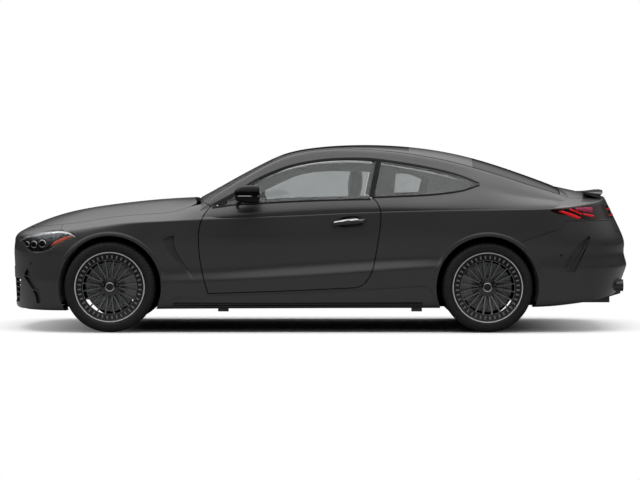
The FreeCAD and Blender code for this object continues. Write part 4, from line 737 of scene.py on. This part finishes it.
def plate(centre, half_sizes, thick, axis, power=4.0, steps=40):
    """A thin plate with a rounded outline, square to an axis: rings of a superellipse."""
    flat = [k for k in range(3) if k != axis]
    levels = [(1.0, -thick / 2), (1.0, thick / 2), (0.8, thick / 2), (0.4, thick / 2)]
    rings = np.zeros((len(levels), steps, 3))
    for k, (share, height) in enumerate(levels):
        rings[k][:, flat] = oval(*half_sizes, steps, power) * share
        rings[k, :, axis] = height
    return tube(rings + np.array(centre))


# Padded pieces

def cushion_form(path, widths, depths, bolster, up, power=3.2, count=44):
    """A cushion as rings along a path: a superellipse whose half width and depth are given at shares of the
    path's length, and whose upper side rises towards both flanks by a bolster."""
    path = resampled(path, 30)
    across, height = oval(1, 1, count, power).T
    along = np.linspace(0, 1, len(path))[:, None]
    raised = bolster * smooth_step(0.45, 0.85, np.abs(across)) * smooth_step(-0.2, 0.6, height)
    raised = raised * np.sin(math.pi * np.clip(along, 0.08, 0.92))
    section = [across * np.interp(along, *widths), height * np.interp(along, *depths) + raised]
    return tube(carried(path, np.stack(section, -1), up))


def stuffed(name, part, voxel, swell):
    """A leather piece made by inflation: its form is remeshed evenly, blown up as cloth for a few steps, held
    within the most that it may swell, and smoothed."""
    mesh = merged(name, [part])
    mesh.materials.append(bpy.data.materials["black_nappa_leather"])
    made = linked(bpy.data.objects.new(name, mesh))
    bpy.context.view_layer.objects.active = made
    remesh = made.modifiers.new("even", "REMESH")
    remesh.mode, remesh.voxel_size, remesh.use_smooth_shade = "VOXEL", voxel, True
    bpy.ops.object.modifier_apply(modifier="even")
    mesh = made.data
    before = np.empty(len(mesh.vertices) * 3, np.float32)
    mesh.vertices.foreach_get("co", before)
    scene = bpy.context.scene
    cloth = made.modifiers.new("skin", "CLOTH")
    cloth.settings.use_pressure = True
    cloth.settings.uniform_pressure_force = 4.0
    cloth.settings.quality = 3
    cloth.settings.effector_weights.gravity = 0
    for frame in range(1, 13):
        scene.frame_set(frame)
    bpy.ops.object.modifier_apply(modifier="skin")
    scene.frame_set(1)
    after = np.empty_like(before)
    mesh.vertices.foreach_get("co", after)
    move = (after - before).reshape(-1, 3)
    length = np.linalg.norm(move, axis=1, keepdims=True)
    move *= np.minimum(1.0, swell / np.maximum(length, 1e-9))
    mesh.vertices.foreach_set("co", (before.reshape(-1, 3) + move).ravel())
    mesh.update()
    smooth = made.modifiers.new("relax", "SMOOTH")
    smooth.factor, smooth.iterations = 0.5, 3
    bpy.ops.object.modifier_apply(modifier="relax")
    mesh.polygons.foreach_set("use_smooth", np.full(len(mesh.polygons), True))
    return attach(made, "body")


# Operators

class CoupeColours(bpy.types.PropertyGroup):
    """Sizes and colours that a user would change."""

    # The wheel lines that rim_line raises are painted highlight: mid grey strips where light catches the edges
    rim_line: FloatProperty(name="Rim line height", description="How far the machined wheel lines stand proud",
                            default=0.0008, min=0.0002, max=0.003, unit="LENGTH")
    trim_height: FloatProperty(name="Trim height", description="How far window trim stands off the body",
                               default=0.0025, min=0.001, max=0.006, unit="LENGTH")
    tread_blocks: IntProperty(name="Tread blocks", description="Cross grooves to one turn of a tyre",
                              default=66, min=20, max=120)
    cushion_swell: FloatProperty(name="Cushion swell", description="The most that a seat's foam swells",
                                 default=0.009, min=0.0, max=0.03, unit="LENGTH")
    camera_distance: FloatProperty(name="Camera distance", description="From the camera to the car's centreline",
                                   default=20.2, min=5.0, max=60.0, unit="LENGTH")
    floor_tint: FloatVectorProperty(name="Floor", description="Colour of the studio floor", subtype="COLOR",
                                    size=4, default=srgb("f1f1f1"), min=0.0, max=1.0)


def settings():
    """The sizes and colours that the scene holds."""
    return bpy.context.scene.coupe_looks


class Finishes(bpy.types.Operator):
    """Make every material and give each node of the frame its own"""

    bl_idname = "coupe.finishes"
    bl_label = "Finishes"

    def execute(self, context):
        make_plain_finishes()
        make_paint()
        make_glass()
        make_leather()
        make_lamp_covers()
        wanted = dict(NODE_FINISH_OF)
        for corner, _ in CORNERS:
            make_tyre_rubber(corner)
            make_brake_disc(corner)
            wanted[f"tyre_{corner}"] = f"tyre_rubber_{corner}"
            wanted[f"brake_disc_{corner}"] = f"drilled_cast_iron_{corner}"
        for name, obj in NODES.items():
            slot = obj.material_slots[0].material.name.split(".")[0]
            if name in wanted or slot in FINISH_OF:
                obj.material_slots[0].material = bpy.data.materials[wanted.get(name) or FINISH_OF[slot]]
        return {"FINISHED"}


class Tyres(bpy.types.Operator):
    """Replace the four tyres with grooved and ribbed ones of the same form"""

    bl_idname = "coupe.tyres"
    bl_label = "Tyres"

    def execute(self, context):
        for corner, outside in CORNERS:
            part = tyre_part(corner, outside, settings().tread_blocks)
            made = piece(f"grooved_tyre_{corner}", [part], f"tyre_rubber_{corner}", f"wheel_{corner}",
                         crease_deg=50)
            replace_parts(made, f"tyre_{corner}")
        return {"FINISHED"}


class WheelTrim(bpy.types.Operator):
    """Machined lip, lines of painted highlight, hub cap rings and bolts of the wheels"""

    bl_idname = "coupe.wheel_trim"
    bl_label = "Wheel trim"

    def execute(self, context):
        for corner, outside in CORNERS:
            lip, *edges = rim_trim_parts(corner, outside, settings().rim_line)
            for name, parts, material in (("rim_lip", [lip], "turned_aluminium"),
                                          # The raised wheel lines are mid grey strips: painted highlight along the
                                          # spoke edges, the ring and the bars
                                          ("rim_edges", edges, "painted_highlight_grey_lacquer"),
                                          ("hub_ring", [hub_ring_part(corner, outside)], "bright_chrome"),
                                          ("wheel_bolts", bolt_parts(corner, outside), "cast_aluminium")):
                piece(f"{name}_{corner}", parts, material, f"wheel_{corner}")
        return {"FINISHED"}


class WindowTrim(bpy.types.Operator):
    """Gloss black mouldings round the side windows, pillar covers and belt seals"""

    bl_idname = "coupe.window_trim"
    bl_label = "Window trim"

    def execute(self, context):
        height = settings().trim_height
        over = laid("left", GLASS_TOP, TRIM_TOP, height, 150)
        quarter_belt = strip("left", QUARTER_BELT, 0.013, height, 70)
        pillar = laid("left", PILLAR_FRONT, PILLAR_BACK, height * 0.8, 30)
        belt = strip("left", DOOR_BELT, 0.013, height, 80)
        # The roof's edge seen from above, as (x, off the centreline)
        gutter = [(-0.862, 0.742), (-0.832, 0.734), (-0.634, 0.680), (-0.487, 0.646), (-0.341, 0.614),
                  (-0.194, 0.586), (-0.046, 0.567), (0.077, 0.557), (0.234, 0.550), (0.455, 0.548), (0.707, 0.550),
                  (0.942, 0.556), (1.219, 0.571), (1.400, 0.584), (1.600, 0.600), (1.830, 0.614)]
        roof = strip("above", [(x, -y) for x, y in gutter], 0.010, 0.0015, 160)
        pairs(("window_trim", [over, quarter_belt, pillar], "gloss_black_abs", "body", "gloss_trim"),
              ("roof_moulding", [roof], "seal_rubber", "body", "gloss_trim"),
              ("belt_seal", [belt], "gloss_black_abs", "door_{}", "gloss_trim"))
        return {"FINISHED"}


class Lamps(bpy.types.Operator):
    """Light strips, reflectors and projectors of the headlamps, and the red guides of the tail lamps"""

    bl_idname = "coupe.lamps"
    bl_label = "Lamps"

    def execute(self, context):
        top = np.array(LAMP_TOP)
        bar = laid("left", top - (0, 0.017), top - (0, 0.004), 0.002, 60)
        bowl = laid("left", np.array(LAMP_BOTTOM) + (0, 0.006), top - (0, 0.020), 0.0012, 60)
        amber = laid("left", [(-2.050, 0.655), (-1.960, 0.694), (-1.884, 0.730)],
                     [(-2.022, 0.692), (-1.955, 0.722), (-1.888, 0.738)], 0.0022, 30)
        eyes, rings = [], []
        for x, z, eye_radius, ring_radius in ((-2.118, 0.676, 0.024, 0.029), (-2.188, 0.668, 0.022, 0.027),
                                              (-2.248, 0.668, 0.017, 0.021)):
            eyes.append(button("left", x, z, eye_radius, 0.004))
            rings.append(button("left", x, z, ring_radius, 0.0026))
        lids = strip("left", np.array(LAMP_TOP) + (0, 0.0035), 0.009, 0.0015, 60)
        guides = [
            laid("left", [(1.809, 0.923), (1.885, 0.892), (1.961, 0.863)],
                 [(1.838, 0.929), (1.913, 0.906), (1.989, 0.875)], 0.0024, 24),
            strip("left", [(1.897, 0.940), (1.950, 0.919), (1.993, 0.900)], 0.013, 0.0024, 20),
            strip("left", [(2.003, 0.902), (2.045, 0.893), (2.088, 0.884)], 0.014, 0.0024, 16),
            strip("left", [(1.822, 0.942), (1.866, 0.948), (1.910, 0.950)], 0.006, 0.0022, 16)]
        rose = laid("left", [(1.950, 0.930), (2.015, 0.920), (2.078, 0.912)],
                    [(1.940, 0.950), (2.015, 0.955), (2.078, 0.952)], 0.0018, 24)
        pairs(("light_strip", [bar], "bright_chrome", "body", "clear_lamp"),
              ("lamp_reflector", [bowl], "metallised_reflector", "body", "clear_lamp"),
              ("side_reflector", [amber], "amber_acrylic", "body", "clear_lamp"),
              ("projector_rings", rings, "bright_chrome", "body", "clear_lamp"),
              ("projectors", eyes, "gloss_black_abs", "body", "clear_lamp"),
              ("lamp_lid", [lids], "gloss_black_abs", "body", "gloss_trim"),
              ("tail_guides", guides, "red_light_guide", "body", "red_lamp"),
              ("tail_reflector", [rose], "rose_acrylic", "body", "red_lamp"))
        for side, sign in SIDES:
            reach = sign * np.array([0.20, 0.40, 0.575])
            inner = [laid("behind", *(np.stack([reach, np.full(3, z + edge)], -1) for edge in (-0.006, 0.006)),
                          0.0024, 30) for z in (0.890, 0.935)]
            piece(f"lid_guides_{side}", inner, "red_light_guide", "boot_lid")
        return {"FINISHED"}


class BodyTrim(bpy.types.Operator):
    """Arch lips, sill edges, parking sensors, and the bright line and glass of the mirrors"""

    bl_idname = "coupe.body_trim"
    bl_label = "Body trim"

    def execute(self, context):
        lips = [arch_lip(wheel_place(corner)[0], *degrees)
                for corner, degrees in (("front_left", (-12, 196)), ("rear_left", (-4, 192)))]
        sill = laid("left", SILL_EDGE, np.array(SILL_EDGE) + (0, 0.024), 0.003, 110)
        sensors = [button("left", x, z, 0.011, 0.0012) for x, z in ((1.835, 0.590), (-2.215, 0.520))]
        # The mirror case's outer edge seen from above, as (x, out from the case's middle)
        case = np.array([(-0.640, 0.058), (-0.612, 0.083), (-0.560, 0.0970), (-0.500, 0.0985), (-0.464, 0.0965)])
        line = np.stack([case[:, 0], -MIRROR_Y - case[:, 1] - 0.0005, np.full(len(case), 1.040)], -1)
        line = tube(carried(resampled(line, 24), oval(0.0015, 0.0028), (0, 0, 1)))
        glass = plate((-0.4675, -MIRROR_Y, 1.052), (0.084, 0.054), 0.003, 0)
        pairs(("arch_lips", lips, "graphite_metallic_paint", "body", "paint"),
              ("sill_edge", [sill], "gloss_black_abs", "body", "gloss_trim"),
              ("parking_sensors", sensors, "moulded_polypropylene", "body", "gloss_trim"),
              ("mirror_line", [line], "bright_chrome", "door_{}", "gloss_trim"),
              ("mirror_glass", [glass], "silvered_glass", "door_{}", "glass"))
        return {"FINISHED"}


class CabinTrim(bpy.types.Operator):
    """Linings of the roof rails and rear quarters, as they show through the side windows"""

    bl_idname = "coupe.cabin_trim"
    bl_label = "Cabin trim"

    def execute(self, context):
        rail = lining([(-0.640, 0.990), (-0.545, 1.040), (-0.430, 1.106), (-0.319, 1.160), (-0.205, 1.211),
                       (-0.090, 1.239), (0.025, 1.252), (0.139, 1.256), (0.254, 1.254), (0.397, 1.251),
                       (0.460, 1.246)],
                      [(-0.690, 1.030), (-0.590, 1.098), (-0.475, 1.172), (-0.340, 1.230), (-0.215, 1.270),
                       (-0.090, 1.296), (0.025, 1.310), (0.139, 1.318), (0.254, 1.319), (0.397, 1.313),
                       (0.460, 1.306)])
        post = lining([(0.425, 1.022), (0.560, 1.030)], [(0.455, 1.308), (0.592, 1.288)])
        quarter = lining([(0.800, 1.036), (0.950, 1.050), (1.100, 1.076), (1.215, 1.112)],
                         [(0.850, 1.240), (0.970, 1.214), (1.110, 1.172), (1.222, 1.124)])
        over = lining([(0.580, 1.236), (0.720, 1.236), (0.862, 1.180)],
                      [(0.590, 1.288), (0.720, 1.264), (0.862, 1.240)])
        under = lining([(0.555, 1.026), (0.690, 1.030), (0.812, 1.036)],
                       [(0.562, 1.074), (0.690, 1.076), (0.812, 1.079)])
        pairs(("roof_rail_lining", [rail], "soft_touch_dash", "body", "liner"),
              ("quarter_lining", [post, quarter, over, under], "soft_touch_dash", "body", "liner"))
        return {"FINISHED"}


class Handles(bpy.types.Operator):
    """Door handles: a black patch in each cup as painted shade, the grip in body paint and a chrome strip as painted
    highlight
    """

    bl_idname = "coupe.handles"
    bl_label = "Door handles"

    def execute(self, context):
        cup = laid("left", [(0.108, 0.834), (0.160, 0.808), (0.217, 0.796), (0.280, 0.806), (0.338, 0.842)],
                   [(0.108, 0.838), (0.170, 0.872), (0.251, 0.887), (0.305, 0.877), (0.342, 0.852)], 0.0016, 40)
        grip = strip("left", [(0.112, 0.830), (0.225, 0.840), (0.334, 0.848)], 0.020, 0.0090, 40)
        bright = strip("left", [(0.110, 0.838), (0.225, 0.852), (0.336, 0.860)], 0.007, 0.0125, 40)
        # The black cup is painted shade in the recess, and the chrome strip is a painted highlight on the grip's top
        pairs(("handle_cup_painted_shade", [cup], "gloss_black_abs", "door_{}", "paint"),
              ("handle_grip", [grip], "graphite_metallic_paint", "door_{}", "paint"),
              ("handle_painted_highlight_strip", [bright], "bright_chrome", "door_{}", "paint"))
        return {"FINISHED"}


class Guards(bpy.types.Operator):
    """Black air guards behind the bumpers, and the radiator behind the lower intake"""

    bl_idname = "coupe.guards"
    bl_label = "Air guards"

    def execute(self, context):
        guards = (((-1.962, 0.40, 0.230), (0.072, 0.046)), ((1.640, 0.60, 0.235), (0.048, 0.042)))
        parts = [plate((x, sign * y, z), half_sizes, 0.02, 1, power=8)
                 for _, sign in SIDES for (x, y, z), half_sizes in guards]
        piece("air_guards", parts, "moulded_polypropylene", "body")
        core = plate((-2.285, 0, 0.320), (0.36, 0.105), 0.07, 0, power=10)
        piece("radiator", [core], "moulded_polypropylene", "body")
        return {"FINISHED"}


class Seats(bpy.types.Operator):
    """Leather seats and bench, inflated in place of the frame's plain ones, and the front seats' rails"""

    bl_idname = "coupe.seats"
    bl_label = "Seats"

    def execute(self, context):
        swell, upright = settings().cushion_swell, (-1, 0, 0.3)
        # Name, node, voxel, most swell, middle off the centreline, path as (x, z), and the form
        forms = (
            ("seat_cushion", "front_seats", 0.010, swell, SEAT_Y,
             ((-0.428, 0.375), (-0.25, 0.378), (-0.08, 0.362), (0.07, 0.365)),
             ((0, 0.5, 1), (0.235, 0.243, 0.235)), ((0, 0.3, 1), (0.066, 0.076, 0.062)), 0.012, (0, 0, 1)),
            ("seat_back", "front_seats", 0.010, swell, SEAT_Y,
             ((0.095, 0.335), (0.115, 0.500), (0.170, 0.700), (0.225, 0.900), (0.255, 1.030)),
             ((0, 0.35, 0.75, 1), (0.235, 0.243, 0.225, 0.180)), ((0, 0.5, 1), (0.058, 0.060, 0.036)), 0.014, upright),
            ("headrest", "front_seats", 0.006, 0.004, SEAT_Y,
             ((0.266, 1.012), (0.276, 1.090), (0.284, 1.170), (0.288, 1.238)),
             ((0, 0.5, 1), (0.090, 0.112, 0.088)), ((0, 0.5, 1), (0.034, 0.050, 0.036)), 0.004, (-1, 0, 0.2), 2.8),
            ("rear_cushion", "rear_seat", 0.010, swell, BENCH_Y,
             ((0.655, 0.318), (0.80, 0.315), (0.95, 0.300), (1.06, 0.290)),
             ((0, 0.5, 1), (0.250, 0.262, 0.250)), ((0, 0.4, 1), (0.085, 0.110, 0.085)), 0.008, (0, 0, 1)),
            ("rear_back", "rear_seat", 0.010, swell, BENCH_Y,
             ((1.125, 0.330), (1.150, 0.500), (1.178, 0.680), (1.200, 0.868)),
             ((0, 0.5, 1), (0.250, 0.262, 0.220)), ((0, 0.5, 1), (0.095, 0.066, 0.036)), 0.010, upright))
        for side, sign in SIDES:
            for name, plain_node, voxel, most, off, path, *form in forms:
                part = cushion_form([(x, sign * off, z) for x, z in path], *form)
                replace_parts(stuffed(f"{name}_{side}", part, voxel, most), plain_node)
        rails = [plate((-0.16, y, 0.2505), (0.22, 0.0545), 0.04, 1, power=12) for y in (-0.54, -0.21, 0.21, 0.54)]
        piece("seat_rails", rails, "moulded_polypropylene", "body")
        return {"FINISHED"}


class Studio(bpy.types.Operator):
    """The camera, the pale floor and the soft light"""

    bl_idname = "coupe.studio"
    bl_label = "Studio"

    def execute(self, context):
        scene = bpy.context.scene
        camera = linked(bpy.data.objects.new("camera", bpy.data.cameras.new("camera")))
        camera.location = (0, -settings().camera_distance, CAMERA_HEIGHT)
        camera.rotation_euler = (math.radians(90 - CAMERA_PITCH_DEG), 0, 0)
        camera.data.lens, camera.data.sensor_width, camera.data.clip_end = LENS_MM, SENSOR_MM, 500
        scene.camera = camera

        # White to the eye, through glass and in the mirror images of the sky; else a dark horizon under soft light
        world = bpy.data.worlds.new("studio_air")
        scene.world = world
        world.use_nodes = True
        tree = world.node_tree
        tree.nodes.clear()
        path = node(tree, "LightPath").outputs
        height = node(tree, "SeparateXYZ", (0, node(tree, "TexCoord").outputs["Generated"])).outputs["Z"]
        ramp = node(tree, "ValToRGB", (0, height))
        stops = ramp.color_ramp.elements
        stops[0].position, stops[0].color = 0.0, srgb("1c1c1c")
        stops[1].position, stops[1].color = 1.0, srgb("f4f4f4")
        stops.new(0.2).color = srgb("404040")
        stops.new(0.55).color = srgb("d8d8d8")
        high = node(tree, "MapRange", ("Value", height), ("From Min", 0.12), ("From Max", 0.75),
                    interpolation_type="SMOOTHSTEP")
        mirrored = node(tree, "Math", (0, high), (1, path["Is Glossy Ray"]), operation="MULTIPLY")
        seen = node(tree, "Math", (0, path["Is Camera Ray"]), (1, path["Is Transmission Ray"]), operation="MAXIMUM")
        shown = node(tree, "Math", (0, seen), (1, mirrored), operation="MAXIMUM")
        soft = node(tree, "Background", ("Color", ramp), Strength=0.5)
        white = node(tree, "Background", Color=(1, 1, 1, 1), Strength=1.0)
        node(tree, "OutputWorld", ("Surface", node(tree, "MixShader", (0, shown), (1, soft), (2, white))))

        # A wide softbox overhead, whose own mirror image is kept off the panels
        light = bpy.data.lights.new("top_softbox", "AREA")
        light.shape, light.size, light.size_y, light.energy = "RECTANGLE", 11.0, 6.0, 820
        lamp = linked(bpy.data.objects.new("top_softbox", light))
        lamp.location = (0, -0.6, 6.0)
        lamp.visible_glossy = False

        # Matt paper that keeps the shadow near the car and fades to white around it: reach is 1 on a superellipse
        # about the car. Light that it throws back is greyer, so the panels stay dark below.
        tree, shader = finish("seamless_paper", "f1f1f1", Roughness=0.9, Specular_IOR_Level=0.2)
        path = node(tree, "LightPath").outputs
        split = node(tree, "SeparateXYZ", (0, node(tree, "TexCoord").outputs["Object"]))
        powers = []
        for letter, half_length in (("X", 2.5), ("Y", 1.45)):
            far = node(tree, "Math", (0, split.outputs[letter]), (1, half_length), operation="DIVIDE")
            far = node(tree, "Math", (0, far), operation="ABSOLUTE")
            powers.append(node(tree, "Math", (0, far), (1, 4.0), operation="POWER"))
        both = node(tree, "Math", (0, powers[0]), (1, powers[1]), operation="ADD")
        reach = node(tree, "Math", (0, both), (1, 0.25), operation="POWER")
        fade = node(tree, "MapRange", ("Value", reach), ("From Min", 0.55), ("From Max", 1.35),
                    interpolation_type="SMOOTHSTEP")
        seen = node(tree, "Math", (0, path["Is Camera Ray"]), (1, path["Is Transmission Ray"]), operation="MAXIMUM")
        tint = node(tree, "ValToRGB", (0, seen))
        tint.color_ramp.elements[0].color = srgb("7c7c7c")
        tint.color_ramp.elements[1].color = settings().floor_tint
        tree.links.new(tint.outputs[0], shader.inputs["Base Color"])
        glow = node(tree, "Emission", Color=(1, 1, 1, 1), Strength=1.0)
        share = node(tree, "Math", (0, fade), (1, path["Is Camera Ray"]), operation="MULTIPLY")
        share = node(tree, "Math", (0, share), (1, path["Is Transmission Ray"]), operation="MAXIMUM")
        surface = node(tree, "MixShader", (0, share), (1, shader), (2, glow))
        output = next(made for made in tree.nodes if made.type == "OUTPUT_MATERIAL")
        tree.links.new(surface.outputs[0], output.inputs["Surface"])
        corners = np.array([(-60, -60, 0), (60, -60, 0), (60, 60, 0), (-60, 60, 0)], float)
        floor = mesh_of("studio_floor", corners, np.array([(0, 1, 2, 3)]))
        floor.materials.append(bpy.data.materials["seamless_paper"])
        linked(bpy.data.objects.new("studio_floor", floor))
        scene.view_settings.view_transform = "Standard"
        return {"FINISHED"}


OPERATORS = (Finishes, Tyres, WheelTrim, WindowTrim, Lamps, BodyTrim, Handles, Guards, CabinTrim, Seats, Studio)


class LooksPanel(bpy.types.Panel):
    """The coupe's pieces, in the 3D view's sidebar"""

    bl_idname = "VIEW3D_PT_coupe_looks"
    bl_label = "Coupe looks"
    bl_space_type = "VIEW_3D"
    bl_region_type = "UI"
    bl_category = "Coupe"

    def draw(self, context):
        values = context.scene.coupe_looks
        for name in CoupeColours.__annotations__:
            self.layout.prop(values, name)
        for operator in OPERATORS:
            self.layout.operator(operator.bl_idname)


def register():
    for kind in (CoupeColours,) + OPERATORS + (LooksPanel,):
        bpy.utils.register_class(kind)
    bpy.types.Scene.coupe_looks = PointerProperty(type=CoupeColours)


def unregister():
    del bpy.types.Scene.coupe_looks
    for kind in (LooksPanel,) + OPERATORS[::-1] + (CoupeColours,):
        bpy.utils.unregister_class(kind)


def main():
    register()
    run = bpy.ops.coupe
    for make in (run.finishes, run.tyres, run.wheel_trim, run.window_trim, run.lamps, run.body_trim, run.handles,
                 run.guards, run.cabin_trim, run.seats, run.studio):
        make()


if __name__ == "__main__":
    main()
